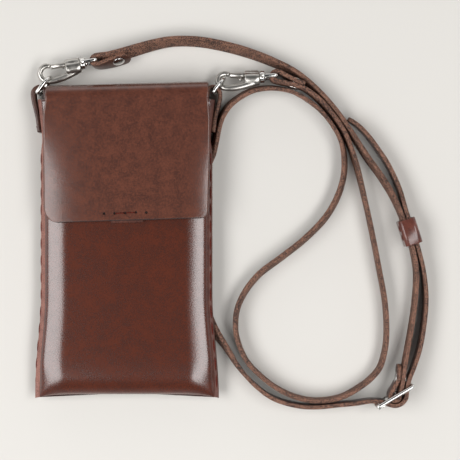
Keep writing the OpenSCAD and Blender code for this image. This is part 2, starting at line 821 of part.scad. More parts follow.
module keeper_thread() {
    side = keeper_in / 2 + keeper_t + thread_rise;
    color(thread_c)
        translate(keeper_place)
            rotate([0, 0, keeper_turn])
                translate([-keeper_stitch_l, -side, 0]) {
                    rod([0, 0, 0], [2 * keeper_stitch_l, 0, 0], thread_r);
                    for (x = [0, keeper_stitch_l, 2 * keeper_stitch_l])
                        rod([x, 0, 0], [x, keeper_t + 2 * thread_rise, 0], thread_r);
                }
}

body_shell();
top_fold();
flap();
flap_patch();
flap_magnet();
flap_stitches();
front_magnet();
front_patch();
left_seam_thread();
right_seam_thread();
left_tab();
right_tab();
left_tab_thread();
right_tab_thread();
left_d_ring();
right_d_ring();
left_hook();
right_hook();
left_gate();
right_gate();
left_gate_spring();
right_gate_spring();
left_swivel_eye();
right_swivel_eye();
short_strap();
long_strap();
left_rivet();
right_rivet();
buckle_rivet();
keeper();
keeper_thread();
buckle_frame();
buckle_prong();
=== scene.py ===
# %% [markdown]
# # Phone pouch, dressed for its photograph
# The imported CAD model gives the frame. Every visible surface is built here
# from a few curves, in the CAD's own millimetres, and painted with shaders
# made of noise. The photograph looks straight down, so the camera does too.

# %% Frame and units
import math

import bpy
import numpy as np
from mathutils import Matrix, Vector


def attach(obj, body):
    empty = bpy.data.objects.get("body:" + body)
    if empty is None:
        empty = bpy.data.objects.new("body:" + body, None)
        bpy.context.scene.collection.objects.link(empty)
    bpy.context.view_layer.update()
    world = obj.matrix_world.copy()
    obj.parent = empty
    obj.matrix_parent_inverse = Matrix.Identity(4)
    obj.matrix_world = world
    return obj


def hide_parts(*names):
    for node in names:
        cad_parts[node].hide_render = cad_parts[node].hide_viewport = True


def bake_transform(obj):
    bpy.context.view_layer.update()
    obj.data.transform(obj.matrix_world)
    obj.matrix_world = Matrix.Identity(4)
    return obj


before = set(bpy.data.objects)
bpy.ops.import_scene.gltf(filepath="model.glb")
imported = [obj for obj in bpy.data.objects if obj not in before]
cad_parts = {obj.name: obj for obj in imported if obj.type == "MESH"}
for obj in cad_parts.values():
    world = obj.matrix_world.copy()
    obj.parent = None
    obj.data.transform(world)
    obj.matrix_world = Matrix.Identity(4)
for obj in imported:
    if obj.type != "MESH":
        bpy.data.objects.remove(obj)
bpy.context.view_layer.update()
MM = 0.001

# %% [markdown]
# ## Step 1: camera and light
# One pixel of the photo is 0.57 mm on a plane 8 mm over the paper. Two long
# softboxes stand to the pouch's left and right, and the room is bright only
# near the floor, so the flat front keeps its deep colour and its rounded sides
# mirror the boxes.

# %% Camera
PICTURE_W = 460
MM_PER_PX = 0.57
CAMERA_OVER = 700.0
SCALE_PLANE = 8.0
PICTURE_CENTRE = (58.7, 5.7)


def link(name, data):
    """Puts new data into the scene as an object at the origin."""
    obj = bpy.data.objects.new(name, data)
    bpy.context.scene.collection.objects.link(obj)
    print("made", name)
    return obj


def make_camera():
    data = bpy.data.cameras.new("camera")
    data.sensor_fit = "HORIZONTAL"
    data.angle = 2 * math.atan(PICTURE_W * MM_PER_PX / 2 / CAMERA_OVER)
    data.clip_start = 0.05
    camera = link("camera", data)
    camera.location = Vector((*PICTURE_CENTRE, CAMERA_OVER + SCALE_PLANE)) * MM
    bpy.context.scene.camera = camera

# %% Softboxes
def make_softbox(name, place, length, width, radiance):
    """A rectangular lamp that faces the pouch, its length along Y."""
    data = bpy.data.lights.new(name, "AREA")
    data.shape = "RECTANGLE"
    data.size = length * MM
    data.size_y = width * MM
    data.energy = radiance * math.pi * data.size * data.size_y
    lamp = link(name, data)
    lamp.location = Vector(place) * MM
    lamp.rotation_euler = (-lamp.location).to_track_quat("-Z", "Y").to_euler()

# %% Helpers for shader nodes
def plug(socket, value):
    """Links an input to another socket, or sets it to a value."""
    if isinstance(value, bpy.types.NodeSocket):
        socket.id_data.links.new(value, socket)
    else:
        socket.default_value = value


def feed(node, **values):
    """Plugs values and sockets into a node's named inputs."""
    for name, value in values.items():
        plug(node.inputs[name.replace("_", " ")], value)
    return node


def add(tree, kind, **values):
    """A new shader node with some of its inputs fed."""
    return feed(tree.nodes.new(kind), **values)


def maths(tree, operation, *values):
    """The output of a math node over numbers and sockets."""
    node = tree.nodes.new("ShaderNodeMath")
    node.operation = operation
    for socket, value in zip(node.inputs, values):
        plug(socket, value)
    return node.outputs[0]

# %% Light of the room
# The room's brightness by the height of the direction, from the horizon up.
ROOM = [(0.0, 0.95), (0.3, 0.7), (0.5, 0.18), (0.75, 0.05), (1.0, 0.03)]
ROOM_LEFT_MORE = 0.25
ROOM_TOP_MORE = 0.6


def make_world():
    """A room bright low down, most of all to the left and beyond the top."""
    world = bpy.data.worlds.new("studio")
    world.use_nodes = True
    tree = world.node_tree
    place = add(tree, "ShaderNodeTexCoord").outputs["Generated"]
    x, y, z = add(tree, "ShaderNodeSeparateXYZ", Vector=place).outputs
    ramp = add(tree, "ShaderNodeValToRGB", Fac=z)
    top = max(level for _, level in ROOM)
    for height, _ in ROOM[1:-1]:
        ramp.color_ramp.elements.new(height)
    for element, (height, level) in zip(ramp.color_ramp.elements, ROOM):
        element.position = height
        element.color = (level / top, level / top, level / top, 1)
    strength = maths(tree, "MULTIPLY_ADD", x, -ROOM_LEFT_MORE * top, top)
    strength = maths(tree, "MULTIPLY_ADD", y, ROOM_TOP_MORE * top, strength)
    feed(tree.nodes["Background"], Color=ramp.outputs[0], Strength=strength)
    bpy.context.scene.world = world

# %% Put camera and lights in place
# Each softbox's place, length, width and radiance.
SOFTBOXES = {"left softbox": ((-780, -220, 1050), 1450, 680, 5.4),
             "right softbox": ((612, -220, 1050), 1450, 430, 6.0)}

make_camera()
make_world()
for name, values in SOFTBOXES.items():
    make_softbox(name, *values)
bpy.context.scene.view_settings.view_transform = "Standard"

# %% [markdown]
# ## Step 2: shaders
# Leather is one shared group: a fine grain of cells, broad mottling that
# darkens and reddens the colour, and a waxed surface. Its outputs feed only
# colour, roughness and normal, so each leather keeps its own values.

# %% Colours picked from the photo
def srgb(r, g, b):
    """A colour picked from the photo, 0 to 255, as linear light."""
    def channel(v):
        v /= 255
        return v / 12.92 if v <= 0.04045 else ((v + 0.055) / 1.055) ** 2.4
    return (channel(r), channel(g), channel(b), 1)

# %% A mix of two colours
# A Mix node's inputs for the share and the two colours, and its colour output.
MIX_INPUTS, MIX_RESULT = (0, 6, 7), 2


def mixed(tree, *values):
    """A colour between two, by their share, dark and light."""
    mix = tree.nodes.new("ShaderNodeMix")
    mix.data_type = "RGBA"
    for at, value in zip(MIX_INPUTS, values):
        plug(mix.inputs[at], value)
    return mix.outputs[MIX_RESULT]

# %% The shared leather group
BROAD_SCALE = 150.0
FLECK_SCALE = 1400.0
CELL_SCALE = 1300.0
CELL_DEPTH = 0.00008
NOISE_MEAN = 0.5
TONE_FROM = 0.25
TONE_TO = 0.75
LIGHT_SMOOTHER = -0.08
SOCKETS = {"INPUT": {"Dark": "Color", "Light": "Color", "Gloss": "Float", "Grain": "Float",
                     "Fleck": "Float"},
           "OUTPUT": {"Color": "Color", "Roughness": "Float", "Normal": "Vector"}}


def make_leather_group():
    """Grain, mottling and wax, shared by every leather."""
    tree = bpy.data.node_groups.new("leather grain", "ShaderNodeTree")
    for way, sockets in SOCKETS.items():
        for name, kind in sockets.items():
            tree.interface.new_socket(name, in_out=way, socket_type="NodeSocket" + kind)
    given = tree.nodes.new("NodeGroupInput").outputs
    place = add(tree, "ShaderNodeTexCoord").outputs["Object"]
    broad = add(tree, "ShaderNodeTexNoise", Vector=place, Scale=BROAD_SCALE, Detail=4.0,
                Roughness=0.6)
    fine = add(tree, "ShaderNodeTexNoise", Vector=place, Scale=FLECK_SCALE, Detail=3.0)
    cells = add(tree, "ShaderNodeTexVoronoi", Vector=place, Scale=CELL_SCALE)
    centred = maths(tree, "SUBTRACT", fine.outputs["Fac"], NOISE_MEAN)
    tone = maths(tree, "MULTIPLY_ADD", centred, given["Fleck"], broad.outputs["Fac"])
    share = add(tree, "ShaderNodeMapRange", Value=tone, From_Min=TONE_FROM,
                From_Max=TONE_TO).outputs[0]
    bump = add(tree, "ShaderNodeBump", Strength=given["Grain"], Distance=CELL_DEPTH,
               Height=cells.outputs["Distance"])
    add(tree, "NodeGroupOutput", Color=mixed(tree, share, given["Dark"], given["Light"]),
        Roughness=maths(tree, "MULTIPLY_ADD", share, LIGHT_SMOOTHER, given["Gloss"]),
        Normal=bump.outputs[0])
    return tree


LEATHER_GROUP = make_leather_group()

# %% Leather
def new_material(name):
    material = bpy.data.materials.new(name)
    material.use_nodes = True
    print("made material", name)
    return material, material.node_tree, material.node_tree.nodes["Principled BSDF"]


def leather(name, dark, light, roughness, grain=0.35, coat=0.0, coat_rough=0.2, fleck=0.8):
    """A leather between two photo colours; roughness is its wax's, grain its bump."""
    material, tree, bsdf = new_material(name)
    group = tree.nodes.new("ShaderNodeGroup")
    group.node_tree = LEATHER_GROUP
    feed(group, Dark=srgb(*dark), Light=srgb(*light), Gloss=roughness, Grain=grain, Fleck=fleck)
    colour, rough, normal = group.outputs
    feed(bsdf, Base_Color=colour, Roughness=rough, Normal=normal, Coat_Normal=normal,
         Coat_Weight=coat, Coat_Roughness=coat_rough)
    return material

# %% Metal
POLISH_SCALE = 500.0
POLISH_LEAST = 0.7
POLISH_MOST = 1.4


def metal(name, colour, roughness):
    """Plated metal with a faint unevenness in its polish."""
    material, tree, bsdf = new_material(name)
    place = add(tree, "ShaderNodeTexCoord").outputs["Object"]
    noise = add(tree, "ShaderNodeTexNoise", Vector=place, Scale=POLISH_SCALE, Detail=2.0)
    polish = add(tree, "ShaderNodeMapRange", Value=noise.outputs["Fac"],
                 To_Min=roughness * POLISH_LEAST, To_Max=roughness * POLISH_MOST)
    feed(bsdf, Base_Color=(*colour, 1), Metallic=1.0, Roughness=polish.outputs[0])
    return material

# %% Thread
PLY_SCALE = 420.0
PLY_UNEVEN = 1.5


def twisted_thread(name, dark, light):
    """Waxed thread whose plies show as slanting bands."""
    material, tree, bsdf = new_material(name)
    place = add(tree, "ShaderNodeTexCoord").outputs["Object"]
    wave = add(tree, "ShaderNodeTexWave", Vector=place, Scale=PLY_SCALE, Distortion=PLY_UNEVEN)
    wave.bands_direction = "DIAGONAL"
    colour = mixed(tree, wave.outputs["Fac"], srgb(*dark), srgb(*light))
    feed(bsdf, Base_Color=colour, Roughness=0.85, Specular_IOR_Level=0.1)
    return material

# %% Paper
FIBRE_SCALE = 300.0
FIBRE_DEPTH = 0.0002


def paper(name, colour):
    material, tree, bsdf = new_material(name)
    place = add(tree, "ShaderNodeTexCoord").outputs["Object"]
    noise = add(tree, "ShaderNodeTexNoise", Vector=place, Scale=FIBRE_SCALE, Detail=3.0)
    bump = add(tree, "ShaderNodeBump", Strength=0.05, Distance=FIBRE_DEPTH,
               Height=noise.outputs["Fac"])
    feed(bsdf, Base_Color=srgb(*colour), Roughness=0.9, Normal=bump.outputs[0])
    return material

# %% Materials of this pouch
FRONT = leather("front leather", (64, 26, 14), (85, 38, 23), 0.27, grain=0.16, coat=1.0,
                coat_rough=0.22, fleck=1.3)
FLAP = leather("flap leather", (68, 36, 27), (98, 57, 44), 0.3, grain=0.25, coat=0.35, fleck=1.5)
SEAM = leather("right seam", (70, 38, 30), (98, 58, 47), 0.62, grain=0.5, fleck=1.6)
# Painted light: the left seam is the same seam leather painted lighter, standing for the left
# softbox's light on the steep left flange.
LEFT_SEAM_PAINTED_LIGHT = leather("left seam with painted light", (110, 68, 58), (146, 98, 86), 0.55, grain=0.5, fleck=1.6)
# Partly a dark burnished edge colour and partly painted shade: it also paints the shadow line along
# the flap's lower edge and the shade deep in the stitch holes.
BURNISHED_AND_SHADE = leather("burnished edge and painted shade", (30, 14, 10), (50, 26, 20), 0.7)
STRAP = leather("strap leather", (50, 28, 22), (84, 53, 42), 0.42, grain=0.25, fleck=1.2)
# Partly painted light: the rough flesh side is paler leather, and its colour is raised further to
# stand for light on strap sides that lie in shade.
FLESH_WITH_PAINTED_LIGHT = leather("flesh side with painted light", (40, 23, 18), (136, 96, 77), 0.85, grain=1.0, fleck=3.2)
# Partly painted shade: raw cut edges are dark, and this colour is darker still to stand for the
# shade under and beside the standing straps.
CUT_EDGE_AND_SHADE = leather("cut edge with painted shade", (42, 24, 18), (126, 88, 70), 0.8, grain=0.8, fleck=2.6)
KEEPER = leather("keeper leather", (72, 38, 32), (108, 62, 52), 0.28, grain=0.15, coat=0.3)
THREAD = twisted_thread("waxed thread", (62, 22, 17), (104, 40, 30))
CHROME = metal("polished plate", (0.72, 0.71, 0.69), 0.15)
SATIN = metal("satin plate", (0.47, 0.45, 0.42), 0.3)
STEEL = metal("plain steel", (0.5, 0.5, 0.52), 0.35)
PAPER = paper("paper", (208, 205, 200))

# %% [markdown]
# ## Step 3: surfaces from grids
# Leather bends and wire curves, so each form is a grid of points: rings along a
# route. Modifiers could bend a flat shape too, but a grid keeps the outline in
# plain millimetres. A soft piece is one grid with a material for each face, and
# a piece of hardware is several closed ones.

# %% A mesh from grids
def skin(name, grids, materials, pick=None, closed=True, caps=True, flat_caps=True):
    """One mesh over grids[grid][ring][point], in millimetres.

    closed joins each ring's last point to its first and caps fills the two
    end rings. pick(grid, ring, point) gives a face's material number, with -1
    as the point of a cap.
    """
    faces, places, base = [], [], 0
    for g, grid in enumerate(grids):
        rings, points = grid.shape[:2]
        first = [base + i * points for i in range(rings)]
        for i, (a, b) in enumerate(zip(first, first[1:])):
            for j in range(points if closed else points - 1):
                k = (j + 1) % points
                faces.append((a + j, a + k, b + k, b + j))
                places.append((g, i, j))
        if caps:
            faces.append(tuple(range(first[0] + points - 1, first[0] - 1, -1)))
            faces.append(tuple(range(first[-1], first[-1] + points)))
            places += [(g, 0, -1), (g, rings - 1, -1)]
        base += rings * points
    mesh = bpy.data.meshes.new(name)
    every = np.vstack([grid.reshape(-1, 3) for grid in grids])
    mesh.from_pydata((every * MM).tolist(), [], faces)
    for material in materials:
        mesh.materials.append(material)
    if pick:
        mesh.polygons.foreach_set("material_index", [pick(*place) for place in places])
    smooth = [place[2] >= 0 or not flat_caps for place in places]
    mesh.polygons.foreach_set("use_smooth", smooth)
    mesh.validate()
    mesh.update()
    return link(name, mesh)

# %% A piece on its body
def fit(piece, body, slot_name, *nodes):
    """Rides a piece on its body in place of its CAD nodes."""
    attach(piece, body)
    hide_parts(*nodes)
    return piece

# %% Arcs and easing
def arc(centre, radius, start, stop, count, plane="xz"):
    """Points on an arc in the xz or xy plane, angles in degrees."""
    a = np.radians(np.linspace(start, stop, count))
    u, v = centre[0] + radius * np.cos(a), centre[1] + radius * np.sin(a)
    zero = np.zeros(count)
    return np.column_stack([u, zero, v] if plane == "xz" else [u, v, zero])


def rounded(half_w, half_h, r, count):
    """A rounded rectangle in plan, from its right side round by the top."""
    w, h = half_w - r, half_h - r
    corners = (((w, h), 0), ((-w, h), 90), ((-w, -h), 180), ((w, -h), 270))
    return np.vstack([arc(c, r, start, start + 90, count, "xy")[:, :2] for c, start in corners])


def ease(t):
    """A smooth step from 0 to 1."""
    t = np.clip(t, 0, 1)
    return t * t * (3 - 2 * t)

# %% Smooth routes
def smooth_route(points, step):
    """Points about `step` apart on a centripetal Catmull-Rom spline.

    Every column is smoothed, so a point's lean and lift are too.
    """
    p = np.array(points, float)
    p = np.vstack([2 * p[0] - p[1], p, 2 * p[-1] - p[-2]])
    out = []
    for a, b, c, d in zip(p, p[1:], p[2:], p[3:]):
        tb = math.dist(a[:2], b[:2]) ** 0.5
        tc = tb + math.dist(b[:2], c[:2]) ** 0.5
        td = tc + math.dist(c[:2], d[:2]) ** 0.5
        count = max(1, round(math.dist(b[:2], c[:2]) / step))
        for t in np.linspace(tb, tc, count, endpoint=False):
            ab = a + (b - a) * t / tb
            bc = b + (c - b) * (t - tb) / (tc - tb)
            cd = c + (d - c) * (t - tc) / (td - tc)
            abc = ab + (bc - ab) * t / tc
            bcd = bc + (cd - bc) * (t - tb) / (td - tb)
            out.append(abc + (bcd - abc) * (t - tb) / (tc - tb))
    out.append(p[-2])
    return np.array(out)


def headings(route):
    """Unit tangents in plan, as an (n, 3) array."""
    d = np.gradient(route[:, :2], axis=0)
    d /= np.linalg.norm(d, axis=1)[:, None]
    return np.column_stack([d, np.zeros(len(d))])


def leftward(way):
    """Unit normals in plan, to the left of unit tangents, as an (n, 3) array."""
    return np.column_stack([-way[:, 1], way[:, 0], np.zeros(len(way))])

# %% [markdown]
# ## Step 4: the two straps
# Each strap stands on its edge. Its route lists where the photo shows the
# middle of the upper edge, then the edge's lean in degrees toward the left of
# the way it runs and how far the strap is lifted off the paper, both 0 where
# left out. The folded ends go round their bars first and last, and belong to
# the mesh only; the free strand between them is measured on its own.

# %% Strap sizes and routes
STRAP_W = 10.0
STRAP_T = 2.3
STRAP_WORN = 0.35
PAPER_GAP = 0.15
STEP = 1.2
PATH_STEPS = 4
TIP_ROUND = 0.45
TIP_LEAST = 0.02
UP = 2.9

SHORT_TAIL = [
    (2, 106, -23, UP), (-1.2, 105.8, -23, UP), (-5.5, 104.6, -23, UP), (-11.8, 101.9, -16, UP),
    (-16.6, 99.9, -6, UP)]
SHORT_STRAND = [
    (-18.9, 99.9, 0, UP), (-19.8, 101.9, 0, UP), (-18.9, 104, 0, UP), (-16.4, 105, 7, UP),
    (-11.5, 105.7, 15, UP), (-5.8, 107.2, 23, UP), (1.7, 109.4, 23, 2.2), (13.1, 112.7, 20, 0.8),
    (24.5, 114.9, 17), (39.9, 114.9, 17), (55.3, 112.3, 17), (70.5, 108, 16), (84.4, 102.4, 13),
    (96.9, 95.8, 9), (109.1, 85.5, 6), (118.8, 74.7, 6), (128, 61.8, 6), (137.6, 47.3, 6),
    (145.8, 35.9, 6), (151.5, 26, 4, 0.6), (156.2, 14.7, 1, 1.7), (159.6, 4.2, 0, 1.7),
    (163, -6.3, 0, 1.7), (165, -18.5, 0, 0.8), (164.4, -34.2), (162, -51.3, 0, 0.4),
    (159.6, -63, 0, 1.9), (157.6, -74, 0, UP), (156.4, -82.4, 0, UP), (155, -87.9, 0, UP),
    (154.3, -90.3, 0, UP), (152.3, -91.2, 0, UP), (150.3, -90.3, 0, UP)]
BUCKLE_TAIL = [
    (149.6, -88, 0, UP), (151.7, -83.8, 0, UP), (154.2, -79, 0, UP), (154.9, -70.6, 0, UP)]
LONG_TAIL = [(101.3, 88.7, 0, UP), (95.7, 90.8, 0, UP), (90.5, 93.4, 0, UP), (85.7, 95.7, 0, UP)]
LONG_STRAND = [
    (83.5, 95.4, 0, UP), (82.3, 93.5, 0, UP), (82.9, 91.4, 0, UP), (84.8, 90.4, 0, UP),
    (93, 88.6, 0, UP), (101, 86.2, 0, 2.4), (107, 82.3, 2, 1.4), (111.7, 78.3, 4, 0.6),
    (116.8, 72.4, 4), (124, 61.6, 4), (130.5, 45, 3), (135.8, 22.8), (139.8, 4.6), (144, -17.1),
    (147.1, -34.2), (148.2, -51.3), (147.3, -62.7), (144.2, -73), (139.6, -78.7), (134.5, -82.9),
    (122, -89.8), (108, -91.8), (97, -90), (86, -85), (77.5, -78.7), (68, -69, 2), (62.4, -56, 4),
    (61.4, -47.9, 6), (62.1, -39.9, 8), (66, -30.2, 10), (74.4, -19.2, 12), (88, -8.8, 12),
    (100.3, 0.9, 12), (112.1, 13.1, 13), (118.9, 24.5, 13), (122.5, 35.9, 13), (123.1, 45.6, 13),
    (121.7, 55.5, 11), (117.4, 64.4, 8), (109, 74.8, 5), (98, 82.4, 6), (92, 84.8, 8),
    (83.2, 86, 11), (75.2, 85.3, 13), (69, 83.2, 14), (59.6, 76.6, 14), (54.6, 69, 14),
    (52.6, 62.1, 14), (51.5, 56, 16), (50.3, 49.5, 36), (47, 40, 52), (47, 20, 52), (47, 0, 52),
    (47, -20, 52), (47, -38, 52), (50.2, -47.8, 34), (57, -60.3, 14), (64.4, -73, 6),
    (73.5, -83.2, 2), (83.2, -90.3), (97.5, -94.6), (108, -95.2), (121.4, -93.8, 0, 0.8),
    (130, -92.9, 0, 1.8), (138.5, -91.4, 0, UP), (144.8, -91.8, 0, UP), (148.8, -93.3, 0, UP),
    (152.6, -94, 0, UP), (156.2, -92.6, 0, UP), (158.5, -89.6, 0, UP), (159, -85.2, 0, UP),
    (159.8, -80.8, 0, UP), (163.2, -72, 0, 2.4), (166.6, -62.5, 0, 0.8), (168.9, -51.3),
    (170.5, -34.2), (169, -18.5, 0, 0.8), (165.8, -5.3, 0, 1.7), (162.4, 5.2, 0, 1.7),
    (159, 15.7, 0, 1.7), (155.6, 28, 0, 0.6), (152.4, 36), (148.2, 44.2), (143.6, 51.1),
    (139.4, 57), (134.5, 62.7), (130.5, 66.2), (126, 69.3)]

# %% Middle line and outline
def strap_middle(route):
    """Centreline and lean from a smoothed route of the upper edge."""
    lean = np.radians(route[:, 2])
    middle = route[:, :2] - leftward(headings(route))[:, :2] * (np.sin(lean) * STRAP_W / 2)[:, None]
    height = PAPER_GAP + route[:, 3] + np.cos(lean) * STRAP_W / 2 + np.sin(lean) * STRAP_T / 2
    return np.column_stack([middle, height]), lean


def strap_outline():
    """Rounded rectangle, as (up, out) pairs, and which faces are cut edges."""
    points = rounded(STRAP_W / 2, STRAP_T / 2, STRAP_WORN, 3)
    middles = (points[:, 0] + np.roll(points[:, 0], -1)) / 2
    return points, np.abs(middles) > STRAP_W / 2 - STRAP_WORN


def distances(path):
    """How far along a path each of its points lies."""
    return np.concatenate([[0], np.cumsum(np.linalg.norm(np.diff(path, axis=0), axis=1))])


def tip_widths(middle):
    """Shares of the full width along a route that starts at a rounded end."""
    short = 1 - np.clip(1 - distances(middle) / (STRAP_W * TIP_ROUND), 0, 1) ** 2
    return np.sqrt(np.clip(short, TIP_LEAST, 1))

# %% The sweep
def sweep_strap(name, middle, lean, tips):
    """The strap's mesh: a waxed side, a rough flesh side with painted light, and raw cut edges with
    painted shade.
    """
    outline, edge = strap_outline()
    left = leftward(headings(middle))
    up = np.array([0, 0, 1.0])
    across = up * np.cos(lean)[:, None] + left * np.sin(lean)[:, None]
    out = left * np.cos(lean)[:, None] - up * np.sin(lean)[:, None]
    width = np.ones(len(middle))
    if "start" in tips:
        width *= tip_widths(middle)
    if "end" in tips:
        width *= tip_widths(middle[::-1])[::-1]
    kinds = [1 if raw else 2 if point[1] > 0 else 0 for point, raw in zip(outline, edge)]
    grid = (middle[:, None] + across[:, None] * outline[:, :1] * width[:, None, None]
            - out[:, None] * outline[:, 1:])
    return skin(name, [grid], [STRAP, CUT_EDGE_AND_SHADE, FLESH_WITH_PAINTED_LIGHT], flat_caps=False,
                pick=lambda _, ring, point: 1 if point < 0 else kinds[point])

# %% A strap and its cord
def make_strap(node, before, strand, after, tips):
    """Sweeps a whole strap and prints the length of its free strand."""
    whole = smooth_route([(*point, 0, 0)[:4] for point in before + strand + after], STEP)
    middle, lean = strap_middle(whole)
    piece = sweep_strap(node + "_leather", middle, lean, tips)
    first, last = (int(np.argmin(np.linalg.norm(whole[:, :2] - np.array(end[:2]), axis=1)))
                   for end in (strand[0], strand[-1]))
    path = middle[first:last + 1:PATH_STEPS]
    fit(piece, "pouch", "strap_leather", node)
    length, whole_length = distances(path)[-1], distances(middle)[-1]
    print(f"{node}: free strand {length:.0f} mm, whole {whole_length:.0f} mm")

# %% [markdown]
# ## Step 5: the pouch
# One cross-section function gives the outside at any height along the pouch:
# flat back, leaning lower wall, the flat seam flange, and the front's round.
# The left flange hangs steeply and the right one lies flatter, as in the
# photo. Toward the open end the flange turns into an upright side wall, and
# toward the bottom the section closes into the fold.

# %% Sizes of the pouch
HALF_W = 48.7
POUCH_T = 16.8
LEATHER_T = 1.7
FLANGE_Z = 10.8
FLANGE_T = 3.2
FLANGE_W = 2.1
BOTTOM = 87.8
MOUTH = 79.5
FOLD_START = -60.0
UNDER_ROUND = 5.8
FOLD_Z = 7.0
FLARE = 3.6
CORNER_DROP = 2.2
WALL_X = 50.2
WALL_LEAN = 0.118
HANG = {-1: 2.0, 1: 0.5}
HANG_FROM, HANG_RUN = -84, 14
FLARE_FROM = -30
FLANGE_SINK = 22
WALL_FROM, WALL_RUN = 50, 9
WALL_TOP = 14.5
WALL_ROUND = 1.5
FOLD_SHAPE, UNDER_SHAPE = 2.2, 2
# The front is flat, then rounds down and drops steeply to the flange.
FRONT_KEYS = [(0, 1), (0.3, 1), (0.7, 0.997), (0.74, 0.981), (0.78, 0.929), (0.82, 0.855),
              (0.86, 0.761), (0.9, 0.647), (0.944, 0.491), (0.965, 0.37), (0.985, 0.18), (1, 0)]
# The steps between a section's key points from the back to the flange, and on the front.
SECTION_STEPS = [6, 2, 8, 2, 1, 3, 2, 3]
FRONT_STEPS = 40
FRONT_SPACING = 0.7
HALF_POINTS = sum(SECTION_STEPS) + FRONT_STEPS
SEAM_POINTS = (14, 32)
# From, to and number of the sections above the fold, then those round it.
SECTION_RUNS = [(MOUTH, 46, 22), (44, -59, 40)]
FOLD_SECTIONS, FOLD_REST = 34, 28
POCKET_END = -72
POCKET_MID_Z = 8.2
POCKET_W = 50

# %% Round of the front
def smooth_curve(keys, count=400):
    """Shares and heights of a monotone curve through key points (Fritsch-Carlson)."""
    x, y = np.array(keys, float).T
    step = np.diff(y) / np.diff(x)
    a, b = step[:-1], step[1:]
    inner = np.where(b * a > 0, 2 * b * a / (b + a - 1e-12), 0)
    slope = np.concatenate([[0], inner, [step[-1] * 1.5]])
    at = np.linspace(x[0], x[-1], count)
    i = np.clip(np.searchsorted(x, at, side="right") - 1, 0, len(x) - 2)
    h = x[i + 1] - x[i]
    t = (at - x[i]) / h
    return at, ((2 * t ** 3 - 3 * t ** 2 + 1) * y[i] + (t ** 3 - 2 * t ** 2 + t) * h * slope[i]
                + (3 * t ** 2 - 2 * t ** 3) * y[i + 1] + (t ** 3 - t ** 2) * h * slope[i + 1])


FRONT_SHARES, FRONT_RISES = smooth_curve(FRONT_KEYS)


def rise(s, shape):
    """A superellipse's fall from 1 to 0 while s goes from 0 to 1."""
    return np.clip(1 - np.clip(s, 0, 1) ** shape, 0, 1) ** (1 / shape)

# %% Widths and heights along the pouch
def half_at(y):
    """Half the pouch's width, with its flare toward the bottom."""
    return HALF_W + FLARE * ease((FLARE_FROM - y) / (BOTTOM + FLARE_FROM))


def flange_mid(y):
    return FLANGE_Z + (FOLD_Z - FLANGE_Z) * ease((FOLD_START - UNDER_ROUND - y) / FLANGE_SINK)


def wall_at(y):
    return WALL_X - WALL_LEAN * (MOUTH - y)


def wall_share(y):
    """How far the flange has turned into the upright side wall."""
    return ease((y - WALL_FROM) / WALL_RUN)


def corner_drop(y):
    return CORNER_DROP * np.clip((FOLD_START - y) / (FOLD_START + BOTTOM), 0, 1)

# %% Cross-section
def dense(points, counts):
    """Straight runs between key points, with a number of steps for each."""
    runs = [a + (b - a) * np.linspace(0, 1, n, endpoint=False)[:, None]
            for a, b, n in zip(points, points[1:], counts)]
    return np.vstack(runs + [points[-1:]])


def outside_half(y, side):
    """(x, z) from the middle of the back round to the front's crest."""
    q = rise((FOLD_START - y) / (FOLD_START + BOTTOM), FOLD_SHAPE)
    low = rise((UNDER_ROUND - BOTTOM - y) / UNDER_ROUND, UNDER_SHAPE)
    zf, a, w, wx = flange_mid(y), half_at(y), wall_share(y), wall_at(y)
    edge, zt, zl = a - FLANGE_W, zf + FLANGE_T / 2, zf - FLANGE_T / 2
    hang = HANG[side] * ease((y - HANG_FROM) / HANG_RUN)
    zb = zl * (1 - low)
    plain = np.array([(0, zb), (edge - 13, zb), (edge - 11, zb + 0.35 * low),
                      (edge + 0.3, zl - 0.6 - hang * 0.6), (a - 0.3, zl - hang),
                      (a, zl + 0.3 - hang), (a, zt - 0.6 - hang), (a - 0.45, zt - 0.1 - hang),
                      (edge, zt)])
    upright = np.array([(0, 0), (wx - 6, 0), (wx - 4.5, 0.3), (wx, 3.2), (wx, 5), (wx, 8),
                        (wx, 12.5), (wx - 0.4, 13.6), (wx - WALL_ROUND, WALL_TOP)])
    top_edge = edge + (wx - WALL_ROUND - edge) * w
    top_low = zt + (WALL_TOP - zt) * w
    folded = (POUCH_T - zt) * q
    top_rise = folded + ((POUCH_T - WALL_TOP) - folded) * w
    s = np.cos(np.linspace(0, math.pi / 2, FRONT_STEPS)[1:]) ** FRONT_SPACING
    front_z = top_low + top_rise * np.interp(s, FRONT_SHARES, FRONT_RISES)
    return np.vstack([dense(plain + (upright - plain) * w, SECTION_STEPS),
                      np.column_stack([top_edge * s, front_z])])


def body_ring(y):
    """One closed ring of the outside, from the back's middle round by the right."""
    right, left = outside_half(y, 1), outside_half(y, -1)
    x, z = np.vstack([right, (left * (-1, 1))[-2:0:-1]]).T
    return np.column_stack([x, y - corner_drop(y) * (np.abs(x) / half_at(y)) ** 6, z])

# %% The body
def on_seam(_, ring, point):
    """1 for the faces of the right flange and side wall, 2 for the left ones, which take the seam
    leather with painted light, else 0.
    """
    left = point >= HALF_POINTS
    from_back = 2 * HALF_POINTS - 3 - point if left else point
    return (1 + left) * (SEAM_POINTS[0] <= from_back < SEAM_POINTS[1])


